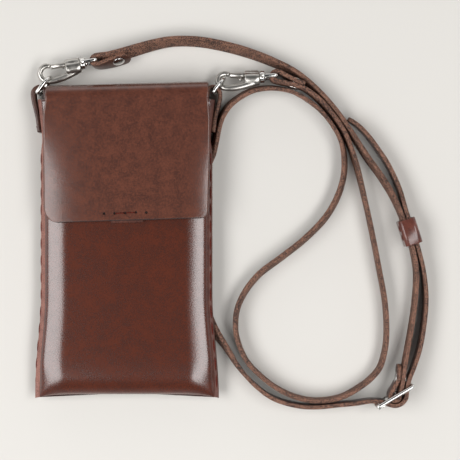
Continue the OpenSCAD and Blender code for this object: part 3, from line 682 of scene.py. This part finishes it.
def make_body():
    """Outside, rim and pocket as one skin, open at the top."""
    turn = np.linspace(0, math.pi / 2, FOLD_SECTIONS)[1:]
    near_fold = FOLD_REST * (1 - np.sin(turn)) - BOTTOM
    stations = np.concatenate([np.linspace(*run) for run in SECTION_RUNS] + [near_fold])
    outside = np.array([body_ring(y) for y in stations])
    middle = np.array([0, 0, POCKET_MID_Z])
    share = np.array([1 - 2 * LEATHER_T / POCKET_W, 1, 1 - LEATHER_T / POCKET_MID_Z])
    inside = (outside[stations > POCKET_END] - middle) * share + middle
    grid = np.vstack([inside[::-1], outside])
    # The left flange and wall take the seam leather with painted light.
    body = skin("pouch_leather", [grid], [FRONT, SEAM, LEFT_SEAM_PAINTED_LIGHT], on_seam, flat_caps=False)
    fit(body, "pouch", "leather", "body_shell")


make_body()

# %% [markdown]
# The fold and the flap are one sheet, as in the real pouch. Its middle line
# runs up the open end and over the crest as part of a superellipse, then down
# the front.

# %% Sizes of the flap
FLAP_HALF_W = {-1: 46.3, 1: 47.4}
FOLD_HALF_W = {-1: 45.0, 1: 46.6}
FLAP_TAPER = 0.8
TAPER_FROM, TAPER_RUN = 50, 40
FOLD_WIDENS = 12
FLAP_EDGE_Y = 11.0
FLAP_SLANT = 0.031
SLANT_FROM, SLANT_RUN, SLANT_TOP = 70, 50, 10
CREST_SLANT = 0.028
CREST_BELOW, CREST_RUN, CREST_Z, CREST_RISE = 8, 12, 3, 8
FLAP_GAP = 1.9
DROOP = {-1: (3.0, 4.3), 1: (1.8, 7.0)}
DROOP_RUN = 54.0
CORNER_R = {-1: 9.0, 1: 4.0}
CORNER_RUN = max(CORNER_R.values())
# The last of these is how far up from the lower edge the flap is painted dark: a burnished edge and
# a painted shadow line.
EDGE_THIN, EDGE_THIN_RUN, EDGE_SHADE_AND_BURNISH = 0.45, 0.8, 0.45
FLAP_TOP = POUCH_T + FLAP_GAP + LEATHER_T
FOLD_REACH = 9.2
FOLD_POWER = 2 / 2.7

# %% Middle line and width of the sheet
def droop(x, y):
    """How far the flap's sides hang, more and more toward its lower edge."""
    share = np.abs(x) / FLAP_HALF_W[-1]
    sides = [deep * share ** power for deep, power in (DROOP[-1], DROOP[1])]
    return np.where(x < 0, *sides) * ease((MOUTH - y) / DROOP_RUN)


def sheet_line():
    """Middle line of the sheet as (y, z, ny, nz), with its outward normal."""
    a = np.radians(np.linspace(-90, 90, 61))
    reach, height = FOLD_REACH - LEATHER_T / 2, (FLAP_TOP - LEATHER_T) / 2
    y = MOUTH + reach * np.cos(a) ** FOLD_POWER
    z = FLAP_TOP / 2 + height * np.sign(np.sin(a)) * np.abs(np.sin(a)) ** FOLD_POWER
    corner = 1 - np.sin(np.linspace(0, math.pi / 2, 24)[1:])
    down = np.concatenate([np.linspace(MOUTH, FLAP_EDGE_Y + CORNER_RUN, 44)[1:],
                           FLAP_EDGE_Y + CORNER_RUN * corner])
    y = np.concatenate([y, down])
    z = np.concatenate([z, np.full(len(down), FLAP_TOP - LEATHER_T / 2)])
    d = np.gradient(np.column_stack([y, z]), axis=0)
    d /= np.linalg.norm(d, axis=1)[:, None] + 1e-12
    return y, z, d[:, 1], -d[:, 0]


def flap_half(y, side):
    """Half the sheet's width on one side: narrower at the fold, round at its corner."""
    corner = CORNER_R[side]
    low = np.clip((FLAP_EDGE_Y + corner - y) / corner, 0, 1)
    fold, flap = FOLD_HALF_W[side], FLAP_HALF_W[side]
    wide = fold + (flap - fold) * ease((MOUTH - y) / FOLD_WIDENS)
    if side > 0:
        wide = wide - FLAP_TAPER * ease((TAPER_FROM - y) / TAPER_RUN)
    return wide - corner * (1 - np.sqrt(np.clip(1 - low ** 2, 0, 1)))

# %% Stitch holes
BORE_R = 0.75
BORE_DEPTH = 6
BORE_PLACES = [(-11.85, 14.9), (-5.95, 15), (0, 15.2), (5.95, 15.6), (11.8, 15.5)]
GROOVE_Y = 15.3
GROOVE_SIZE = (11.9, 0.7, 1.0)
GROOVE_TURN = 0.05
SHARP_FROM = 40


def drill(place, radius, depth, vertices, rotation=(0, 0, 0)):
    """A round cutter, upright unless it is rotated."""
    bpy.ops.mesh.primitive_cylinder_add(vertices=vertices, radius=radius * MM, depth=depth * MM,
                                        location=Vector(place) * MM, rotation=rotation)
    return bpy.context.object


def block(place, size, turn=0.0):
    """A box-shaped cutter."""
    bpy.ops.mesh.primitive_cube_add(size=1, location=Vector(place) * MM)
    cutter = bpy.context.object
    cutter.scale = Vector(size) * MM
    cutter.rotation_euler.z = turn
    return cutter


def carve(piece, cutters, overlapping=False):
    """Cuts a piece, whose own parts may overlap, and removes the cutters."""
    for cutter in cutters:
        cut = piece.modifiers.new("cut", "BOOLEAN")
        cut.operation = "DIFFERENCE"
        cut.solver = "EXACT"
        cut.use_self = overlapping
        cut.object = cutter
    bpy.context.view_layer.update()
    graph = bpy.context.evaluated_depsgraph_get()
    cut_mesh = bpy.data.meshes.new_from_object(piece.evaluated_get(graph))
    piece.modifiers.clear()
    piece.data = cut_mesh
    for cutter in cutters:
        bpy.data.objects.remove(cutter)


def pierce(flap):
    """Cuts the five stitch holes and the groove between the middle three."""
    cutters = [drill((x, y, FLAP_TOP), BORE_R, BORE_DEPTH, 24) for x, y in BORE_PLACES]
    carve(flap, cutters + [block((0, GROOVE_Y, FLAP_TOP), GROOVE_SIZE, GROOVE_TURN)])
    flap.data.set_sharp_from_angle(angle=math.radians(SHARP_FROM))

# %% Fold and flap
def make_flap():
    """Fold and flap as one sheet with rounded edges, thinned at its lower end and painted dark
    there as a shadow line.
    """
    y, z, ny, nz = sheet_line()
    turn = np.linspace(0, math.pi, 7)[1:-1]
    across = np.sin(np.linspace(-math.pi / 2, math.pi / 2, 41))
    half_t = LEATHER_T / 2
    bow, up = half_t * np.sin(turn), np.cos(turn)
    rings = []
    for yi, zi, nyi, nzi in zip(y, z, ny, nz):
        left_x, right_x = half_t - flap_half(yi, -1), flap_half(yi, 1) - half_t
        x = (left_x + right_x) / 2 + across * (right_x - left_x) / 2
        x, out = np.vstack([np.column_stack(part) for part in (
            (x, np.ones_like(x)), (right_x + bow, up),
            (x[::-1], -np.ones_like(x)), (left_x - bow, -up))]).T
        share = np.clip((FLAP_EDGE_Y + EDGE_THIN_RUN - yi) / EDGE_THIN_RUN, 0, 1)
        out = out * half_t * (1 - EDGE_THIN * share ** 2)
        slant = (FLAP_SLANT * x * ease((SLANT_FROM - yi) / SLANT_RUN)
                 * ease((MOUTH - yi) / SLANT_TOP))
        crest = (CREST_SLANT * x * ease((yi + CREST_BELOW - MOUTH) / CREST_RUN)
                 * ease((zi - CREST_Z) / CREST_RISE))
        rings.append(np.column_stack([x, yi + nyi * out + slant + crest,
                                      zi + nzi * out - droop(x, yi)]))
    last = len(rings) - 1
    # Painted shade: the rings nearest the lower edge take the dark burnished-edge leather, which
    # paints the shadow line under the flap.
    shaded_burnished_rings = y < FLAP_EDGE_Y + EDGE_SHADE_AND_BURNISH
    flap = skin("flap_leather", [np.array(rings)], [FLAP, BURNISHED_AND_SHADE], flat_caps=False,
                pick=lambda _, ring, point: ring > last // 2 and shaded_burnished_rings[min(ring + 1, last)])
    pierce(flap)
    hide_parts("top_fold", "flap")
    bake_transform(flap)


make_flap()

# %% [markdown]
# ## Step 6: tubes, bands and turned pieces
# The hardware is wire, turned barrels and one cast hook. A tube follows a
# route in space, a band stands on edge along a route in plan, and a turned
# piece spins a profile about its own x axis. Each needs only a few numbers.

# %% Tube
def with_tangents(route, closed):
    """A route, back at its start where it closes, and its unit tangents."""
    route = np.array(route, float)
    if closed:
        route = np.vstack([route, route[:1]])
    way = np.gradient(route, axis=0)
    if closed:
        way[0] = way[-1] = route[1] - route[-2]
    return route, way / np.linalg.norm(way, axis=1)[:, None]


def tube(route, radius, sides=20, closed=False):
    """A round tube; radius is one number or one for each route point."""
    route, way = with_tangents(route, closed)
    side = np.cross(way[0], (0, 0, 1.0))
    if np.linalg.norm(side) < 0.1:
        side = np.cross(way[0], (0, 1.0, 0))
    across = []
    for t in way:
        side = side - t * np.dot(side, t)
        side /= np.linalg.norm(side)
        across.append(side)
    across = np.array(across)
    other = np.cross(way, across)
    radius = np.broadcast_to(np.array(radius, float), len(route))
    a = np.linspace(0, 2 * math.pi, sides, endpoint=False)
    return route[:, None] + radius[:, None, None] * (
        across[:, None] * np.cos(a)[:, None] + other[:, None] * np.sin(a)[:, None])

# %% Band
BAND_WORN = 0.3


def band(route, width, thick, closed=False, outward=0.0):
    """A flat strip on edge along a plan route, or outside it, with softened corners."""
    route, way = with_tangents(route, closed)
    left = leftward(way)[:, :2]
    w, t, r = width / 2, thick / 2, BAND_WORN
    outline = [(w, r - t), (w, t - r), (w - r, t), (r - w, t), (-w, t - r), (-w, r - t),
               (r - w, -t), (w - r, -t)]
    return np.stack([np.column_stack([route + left * (out - outward), np.full(len(route), up)])
                     for up, out in outline], axis=1)


def band_edge(_, ring, point):
    """1 for the faces of a band's cut edges, else 0."""
    return int(point in (0, 4))

# %% Turned piece and placing
def turned(profile, y=0.0, sides=32):
    """A profile of (x, radius) spun about the x axis at height y."""
    a = np.linspace(0, 2 * math.pi, sides, endpoint=False)
    p = np.array(profile, float)
    x = np.repeat(p[:, :1], sides, axis=1)
    return np.stack([x, y + p[:, 1:] * np.cos(a), p[:, 1:] * np.sin(a)], axis=-1)


def spun(grid, axis, turn):
    """A grid turned about the x, y or z axis, in degrees."""
    i, j = {"x": (1, 2), "y": (2, 0), "z": (0, 1)}[axis]
    spin = np.eye(3)
    spin[i, i] = spin[j, j] = math.cos(math.radians(turn))
    spin[j, i] = math.sin(math.radians(turn))
    spin[i, j] = -spin[j, i]
    return grid @ spin.T


def placed(grid, place, turn):
    """A local grid turned about Z and moved to its place."""
    return spun(grid, "z", turn) + np.array(place)


# %% [markdown]
# ## Step 7: rings, bolt snaps, buckle and rivets
# A snap's own x axis runs from the hook through the barrel to its eye. The
# barrel is bored for the bolt and slotted for the stud that pulls it back. A
# boolean cuts both, because a round bore meets the slot's flat walls.

# %% Sizes of the hardware
WIRE_R = 1.1
LOOP_HALF = 6.3
MID_Z = 8.0
RING_OVER = 4.1
RING_X = {"left": -50.4, "right": WALL_X - LEATHER_T + RING_OVER * WALL_LEAN}
RING_CORNER = 0.9
RING_SWEEP = 88
RING_LEG = {"left": 5.1, "right": 4.1}
RING_TURN = {"left": 53.0, "right": 51.6}
SNAP_PLACE = {"left": (-30.4, 98.2, MID_Z), "right": (71.3, 91.5, MID_Z)}
SNAP_TURN = {"left": 10.0, "right": 1.0}
SNAP_ROLL = {"left": 0.0, "right": -20.0}
BARREL_L = 8.5
BARREL_R = 3.8
BOLT_Y = 2.6
BOLT_R = 1.4
BOLT_TIP = -12.7
BOLT_TRAVEL = 3.4
BORE_END = 3.8
STUD_X = -6.3
STUD_R = 0.8
CLEARANCE = 0.15
SWIVEL_Y = 1.4
EYE_REACH = 13.7
ARM_R, ARM_THINS = 2.0, 0.45
TIP_FROM, TIP_THINS = 0.85, 0.35
HOOK_ROUTE = [(2.5, -1.8), (-1, -3), (-4.5, -4), (-7, -4.7), (-10, -5.2), (-12.4, -5.4),
              (-14.8, -5.3), (-16.6, -4.9), (-17.9, -4.1), (-19, -2.9), (-19.5, -1.4), (-19.6, 0),
              (-19.1, 1.3), (-18.4, 2.4), (-17.3, 3.2), (-16.2, 3.6), (-15, 3.7), (-14, 3.4),
              (-13, 3)]

# %% D-ring
def plated(name, grids, place, turn, body, node):
    """Polished wire, put in its place and fitted to its body."""
    grids = [placed(grid, place, turn) for grid in grids]
    return fit(skin(name, grids, [CHROME]), body, "hardware", node)


def make_ring(side):
    low, high = RING_CORNER - LOOP_HALF, LOOP_HALF - RING_CORNER
    route = np.vstack([
        [(0, 0, -2), (0, 0, 2)],
        arc((RING_CORNER, high), RING_CORNER, 180, 90, 5),
        arc((RING_LEG[side], 0), LOOP_HALF, RING_SWEEP, -RING_SWEEP, 40),
        arc((RING_CORNER, low), RING_CORNER, 270, 180, 5)])
    place = (RING_X[side], MOUTH + RING_OVER, MID_Z)
    plated(side + "_ring_wire", [tube(route, WIRE_R, closed=True)], place, RING_TURN[side],
           side + "_ring_body", side + "_d_ring")

# %% Cast body of a snap
def in_snap(grid, side):
    """A part of a snap, rolled about the swivel's axis and put in its place."""
    axis = np.array([0, SWIVEL_Y, 0])
    rolled = spun(grid - axis, "x", SNAP_ROLL[side]) + axis
    return placed(rolled, SNAP_PLACE[side], SNAP_TURN[side])


def snap_cutters(side):
    """The bolt's bore, closed at the swivel's end, and the slot its stud runs in."""
    bore = drill(((BORE_END - BARREL_L) / 2, BOLT_Y, 0), BOLT_R + CLEARANCE, BARREL_L + BORE_END,
                 32, (0, math.pi / 2, 0))
    slot_end = STUD_X + BOLT_TRAVEL + STUD_R + CLEARANCE
    slot = block(((slot_end - BARREL_L) / 2, BOLT_Y, -BARREL_R),
                 (slot_end + BARREL_L, 2 * (STUD_R + CLEARANCE), 2 * BARREL_R))
    bpy.context.view_layer.update()
    for cutter in (bore, slot):
        points = np.array([cutter.matrix_world @ v.co for v in cutter.data.vertices]) / MM
        cutter.data.vertices.foreach_set("co", (in_snap(points, side) * MM).ravel())
        cutter.location, cutter.rotation_euler, cutter.scale = (0, 0, 0), (0, 0, 0), (1, 1, 1)
    return [bore, slot]


def make_snap(side):
    """Barrel with its boss, the cast arm and hook, and the swivel's post."""
    h = BARREL_L / 2
    barrel = turned([(-h, 2.6), (-h, 3.3), (-h + 0.3, 3.65), (-h + 0.7, BARREL_R), (-h + 1.1, 3.7),
                     (-1, 3.65), (1.5, 3.65), (h - 0.5, 3.6), (h - 0.15, 3.4), (h, 3.1), (h, 1)],
                    sides=48)
    boss = turned([(-h - 0.02, 1.6), (-h - 0.02, 2.3), (-h + 0.4, 2.6), (3.4, 2.6),
                   (h - 0.5, 1.8)], BOLT_Y)
    route = np.array([(x, y, 0) for x, y in HOOK_ROUTE])
    along = np.linspace(0, 1, len(route))
    at_tip = np.clip(along - TIP_FROM, 0, 1) / (1 - TIP_FROM)
    arm = tube(route, ARM_R - ARM_THINS * ease(along * 2) - TIP_THINS * at_tip)
    post = turned([(h - 0.1, 1.5), (h + 3, 1.5), (h + 3, 2.1), (h + 3.3, 2.3), (h + 3.9, 2),
                   (h + 4.1, 1)], SWIVEL_Y)
    grids = [in_snap(grid, side) for grid in (barrel, boss, arm, post)]
    cast = skin(side + "_hook_cast", grids, [SATIN, CHROME], lambda part, *_: part == 3)
    carve(cast, snap_cutters(side), overlapping=True)
    return fit(cast, side + "_snap_body", "hardware", side + "_hook")

# %% Bolt with its stud
def make_gate(side):
    """The bolt and the stud under it that stands out through the slot."""
    bolt = turned([(BOLT_TIP, 0.7), (BOLT_TIP + 0.15, 1.15), (BOLT_TIP + 0.4, BOLT_R),
                   (-1.2, BOLT_R), (-1, 1.2)], BOLT_Y)
    stud = turned([(0, STUD_R), (3.65, STUD_R), (3.75, 1.3), (3.9, 1.5), (4.3, 1.5), (4.6, 1.1)])
    stud = stud[..., [1, 2, 0]] * (1, 1, -1) + (STUD_X, BOLT_Y, 0)
    grids = [in_snap(bolt, side), in_snap(stud, side)]
    return fit(skin(side + "_bolt", grids, [SATIN]), side + "_gate_body", "hardware",
               side + "_gate")

# %% Swivel eye
def wire_loop(x0, x1, y, corner=1.2):
    """A rounded rectangle of wire that stands upright."""
    low, high = corner - LOOP_HALF, LOOP_HALF - corner
    corners = (((x0 + corner, high), 180), ((x1 - corner, high), 90), ((x1 - corner, low), 0),
               ((x0 + corner, low), 270))
    route = np.vstack([arc(place, corner, start, start - 90, 6) for place, start in corners])
    return tube(route + (0, y, 0), WIRE_R, closed=True)


def make_eye(side):
    """The disc in the barrel's foot and the strap's loop, which don't roll."""
    h = BARREL_L / 2
    disc = turned([(h + 0.2, 1.6), (h + 0.2, 3.1), (h + 0.5, 3.4), (h + 2.5, 3.4), (h + 2.8, 3.1),
                   (h + 2.8, 1.6)], SWIVEL_Y)
    return plated(side + "_eye_wire", [disc, wire_loop(h + 1.5, EYE_REACH, SWIVEL_Y)],
                  SNAP_PLACE[side], SNAP_TURN[side], "pouch", side + "_swivel_eye")

# %% Buckle and prong
BUCKLE_PLACE = (141.4, -94.9, MID_Z)
BUCKLE_TURN = 30.4
BUCKLE_L = 25.3
BUCKLE_CORNER = 0.9
PRONG_R = 0.9
PRONG_EYE_R = 1.75
PRONG_EYE_WIRE = 0.62


def make_buckle():
    bar = tube([(BUCKLE_L / 2, 0, z) for z in np.linspace(-LOOP_HALF, LOOP_HALF, 6)], WIRE_R)
    loop = wire_loop(WIRE_R, BUCKLE_L - WIRE_R, 0, BUCKLE_CORNER)
    return plated("buckle_wire", [loop, bar], BUCKLE_PLACE, BUCKLE_TURN, "pouch", "buckle_frame")


def make_prong():
    middle = BUCKLE_L / 2
    eye = tube(arc((middle, 0), PRONG_EYE_R, -60, 240, 24, "xy"), PRONG_EYE_WIRE)
    route = [(middle - 0.6, -1.7, 0), (middle - 4, -1.95, 0), (4, -2.1, 0), (1.1, -2.12, 0),
             (0.3, -2.05, 0)]
    prong = tube(route, [0.75, PRONG_R, PRONG_R, 0.8, 0.35])
    return plated("prong_wire", [eye, prong], BUCKLE_PLACE, BUCKLE_TURN, "prong_body",
                  "buckle_prong")

# %% Rivets
# Each rivet's place, turn about Z and tilt; then a cap's profile from its foot out.
RIVETS = {"left_rivet": ((-5.3, 103.85, 7.6), 106, 23), "right_rivet": ((95.3, 89.4, MID_Z), 74, 0),
          "buckle_rivet": ((155.7, -78.8, MID_Z), 173, 0)}
RIVET_CAP = [(0.0, 1.2), (2.42, 1.2), (2.42, 3.2), (2.6, 3.5), (2.9, 3.3), (3.2, 2.4),
             (3.34, 1.2), (3.36, 0.1)]


def make_rivet(node):
    """Two domed caps on a shank, lying across the doubled strap."""
    place, turn, tilt = RIVETS[node]
    both = turned([(-x, r) for x, r in RIVET_CAP[::-1]] + RIVET_CAP[1:])
    return plated(node + "_caps", [spun(both, "y", tilt)], place, turn, "pouch", node)

# %% Make the hardware
SIDES = ("left", "right")
for side in SIDES:
    make_ring(side)
hardware = {side: [make_eye(side), make_snap(side), make_gate(side)] for side in SIDES}
buckle = [make_buckle(), make_prong()]
rivets = {node: make_rivet(node) for node in RIVETS}

# %% [markdown]
# ## Step 8: tabs, keeper, patch and thread
# A tab is strap leather folded over its ring and sewn through the side wall.
# A stitch is a short tube that swells in its middle: as a form of its own it
# catches the light, which a painted one would not.

# %% Tab
TAB_T = 2.2
TAB_LEG = 18.0
TAB_RISE = 4.5
TAB_MID = LEATHER_T + 0.1 + TAB_T / 2
TAB_BULGE = {"left": 1.3, "right": 1.5}
BULGE_FROM, BULGE_RUN, BULGE_OVER, BULGE_END = -12, 14, 1.5, 6
TAB_STITCH_Y = -14.8
TAB_STITCHES = ((-3.6, -0.6), (0.6, 3.6))


def on_wall(grid, side):
    """Local x outward and y up the side wall, on the left or the right."""
    place = (WALL_X - LEATHER_T, MOUTH, MID_Z)
    grid = placed(grid, place, -math.degrees(math.atan(WALL_LEAN)))
    return grid * (-1 if side == "left" else 1, 1, 1)


def tab_bulge(y, side):
    """How far the outer leg stands off the wall, most just under the loop."""
    return (TAB_BULGE[side] * ease((y - BULGE_FROM) / BULGE_RUN)
            * ease((TAB_RISE + TAB_MID + BULGE_OVER - y) / BULGE_END))


def make_tab(side):
    loop = arc((0, TAB_RISE), TAB_MID, 180, 0, 25, "xy")[:, :2]
    down = np.linspace(TAB_RISE, -TAB_LEG, 16)[1:]
    route = np.vstack([[(-TAB_MID, y) for y in down[::-1]], loop, [(TAB_MID, y) for y in down]])
    route[:, 0] += tab_bulge(route[:, 1], side) * np.clip(route[:, 0] / TAB_MID, 0, 1)
    grid = on_wall(band(route, STRAP_W, TAB_T), side)
    if side == "left":
        grid = grid[:, ::-1]
    tab = skin(side + "_tab_leather", [grid], [STRAP, CUT_EDGE_AND_SHADE], band_edge, flat_caps=False)
    fit(tab, "pouch", "strap_leather", side + "_tab")

# %% Stitches of a tab
STITCH_SIDES = 10
SADDLE_R = 0.5
SADDLE_POINTS = 7
SINK = 0.15


def swell(count, taper=0.15):
    """Shares of a stitch's full radius along its points."""
    return np.sqrt(np.sin(np.linspace(taper, math.pi - taper, count)))


def saddle_stitch(start, stop):
    """A stitch of the tabs and the keeper, between two points."""
    return tube(np.linspace(start, stop, SADDLE_POINTS), SADDLE_R * swell(SADDLE_POINTS),
                STITCH_SIDES)


def make_tab_thread(side):
    out = TAB_MID + TAB_T / 2 + SINK
    grids = [on_wall(saddle_stitch((x, TAB_STITCH_Y, z0), (x, TAB_STITCH_Y, z1)), side)
             for x in (-out, out) for z0, z1 in TAB_STITCHES]
    fit(skin(side + "_tab_stitch", grids, [THREAD]), "pouch", "thread", side + "_tab_thread")

# %% Stitches of a seam
STITCH_FIRST_Y = 55.8
STITCH_PITCH = 9.63
STITCHES = 15
STITCH_L = 7.2
STITCH_R = 0.42
STITCH_BOW = 0.2
STITCH_POINTS = 9
STITCH_TAPER = 0.12
UNDER_IN = 1.1
# The upper stitches' inset, share of outward bow and height over the flange's
# middle, and how far the lower ones lie below it.
SEAM_STITCH = {"left": (0.3, 1, -1.2, 2.6), "right": (1.05, 0, 1.2, 2.0)}


def make_seam_thread(side):
    """Spindles along the flange: at its edge on the left, on its top on the right."""
    sign = -1 if side == "left" else 1
    inset, outward, over, under = SEAM_STITCH[side]
    full = swell(STITCH_POINTS, STITCH_TAPER)
    bow = STITCH_BOW * full
    grids = []
    for k in range(STITCHES):
        along = np.linspace(0.5, -0.5, STITCH_POINTS) * STITCH_L
        y = STITCH_FIRST_Y - k * STITCH_PITCH + along
        edge, zf, hung = half_at(y), flange_mid(y), y - corner_drop(y)
        edge = edge + (wall_at(y) - edge) * wall_share(y)
        for x, z in ((edge - inset + outward * bow, zf + over + bow),
                     (edge - UNDER_IN, zf - under - bow)):
            grids.append(tube(np.column_stack([sign * x, hung, z]), STITCH_R * full, STITCH_SIDES))
    fit(skin(side + "_seam_stitch", grids, [THREAD]), "pouch", "thread", side + "_seam_thread")

# %% Stitches and patch of the flap
PATCH_X = (-8.2, 10.0)
PATCH_Y = (9.9, 28.0)
PATCH_T = 1.2
PATCH_WORN = 0.3
FLAP_UNDER = FLAP_TOP - LEATHER_T


def make_flap_thread():
    """Sunk between the middle three bores, and under the patch, with dark discs of painted shade
    deep in the bores.
    """
    grids = []
    for (xa, ya), (xb, yb) in zip(BORE_PLACES[1:3], BORE_PLACES[2:4]):
        t = np.linspace(0.08, 0.92, 11)
        z = FLAP_TOP - 0.35 - 0.9 * (np.abs(2 * t - 1) ** 4)
        route = np.column_stack([xa + (xb - xa) * t, ya + (yb - ya) * t, z])
        grids.append(tube(route, 0.33, STITCH_SIDES))
    under = [(x, 15.2, FLAP_UNDER - PATCH_T - 0.1) for x in np.linspace(-6, 6, 5)]
    grids.append(tube(under, 0.3, STITCH_SIDES))
    # Painted shade: a dark disc sits deep in each bore to stand for the shade inside the hole.
    hole_shade_discs = [tube([(x, y, FLAP_TOP - 1.5), (x, y, FLAP_TOP - 1.1)], 0.7, 16)
             for x, y in BORE_PLACES]
    thread = skin("flap_stitch", grids + hole_shade_discs, [THREAD, BURNISHED_AND_SHADE],
                  lambda part, *_: part >= len(grids))
    fit(thread, "flap_body", "thread", "flap_stitches")


def make_patch():
    """The patch under the flap; only its lower lip shows."""
    r = PATCH_WORN
    rings = []
    for x in (PATCH_X[0], PATCH_X[0] + r, PATCH_X[1] - r, PATCH_X[1]):
        inset = r if x in PATCH_X else 0
        y0, y1 = PATCH_Y[0] + inset, PATCH_Y[1] - inset
        z0, z1 = FLAP_UNDER - PATCH_T + inset, FLAP_UNDER - 0.02
        ring = [(y0 + r, z0), (y1 - r, z0), (y1, z0 + r), (y1, z1), (y0, z1), (y0, z0 + r)]
        rings.append([(x, y + FLAP_SLANT * x / 2, z) for y, z in ring])
    patch = skin("patch_leather", [np.array(rings)], [SEAM], flat_caps=False)
    fit(patch, "flap_body", "leather", "flap_patch")

# %% Keeper
KEEPER_PLACE = (161.0, 4.7, 6.9)
KEEPER_TURN = -72.0
KEEPER_L = 14.9
KEEPER_HALF = (3.6, 5.3)
KEEPER_T = 1.4
KEEPER_CORNER = 1.1
KEEPER_SINK = 0.05
KEEPER_STITCH_Z = 3.2
KEEPER_STITCHES = ((-5.2, -1.6), (0.2, 3.8))


def make_keeper():
    """A loop round both strands."""
    route = rounded(*KEEPER_HALF, KEEPER_CORNER, 7)
    grid = band(route, KEEPER_L, KEEPER_T, closed=True, outward=KEEPER_T / 2)[..., [2, 0, 1]]
    grid = placed(grid, KEEPER_PLACE, KEEPER_TURN)
    keeper = skin("keeper_leather", [grid], [KEEPER, CUT_EDGE_AND_SHADE], band_edge, caps=False)
    return fit(keeper, "keeper_body", "leather", "keeper")


def make_keeper_thread():
    """The stitches that close the keeper on its inner side."""
    y = -(KEEPER_HALF[0] + KEEPER_T + KEEPER_SINK)
    grids = [saddle_stitch((x0, y, KEEPER_STITCH_Z), (x1, y, KEEPER_STITCH_Z))
             for x0, x1 in KEEPER_STITCHES]
    grids = [placed(grid, KEEPER_PLACE, KEEPER_TURN) for grid in grids]
    return fit(skin("keeper_stitch", grids, [THREAD]), "keeper_body", "thread", "keeper_thread")

# %% CAD solids that show as they are
def paint(node, material):
    """Gives a piece that shows as its CAD solid its material."""
    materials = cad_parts[node].data.materials
    materials.clear()
    materials.append(material)

# %% Make the sewn pieces
for side in SIDES:
    make_tab(side)
    make_tab_thread(side)
    make_seam_thread(side)
make_flap_thread()
make_patch()
keeper = [make_keeper(), make_keeper_thread()]
for node in ("flap_magnet", "front_magnet", "left_gate_spring", "right_gate_spring"):
    paint(node, STEEL)
paint("front_patch", FRONT)

# %% [markdown]
# ## Step 9: the straps
# Each cord leaves the swivel eye of its snap. The short one ends on the
# buckle and the long one in its own free tip. The straps come after the
# pieces that hang on them.

# %% Make the straps
EYE = {side: placed(np.array([EYE_REACH, SWIVEL_Y, 0.0]), SNAP_PLACE[side], SNAP_TURN[side])
       for side in SIDES}
make_strap("short_strap", SHORT_TAIL, SHORT_STRAND, BUCKLE_TAIL,
           ["start", "end"])
make_strap("long_strap", LONG_TAIL, LONG_STRAND, [],
           ["end"])

# %% [markdown]
# ## Step 10: the paper it lies on
# Plain pale paper: one large face.

# %% Floor and size
PAPER_HALF = 900.0


def make_paper():
    edge = (-PAPER_HALF, PAPER_HALF)
    grid = np.array([[(x, y, 0) for x in edge] for y in edge])
    skin("paper_floor", [grid], [PAPER], closed=False, caps=False)


make_paper()
bpy.context.view_layer.update()
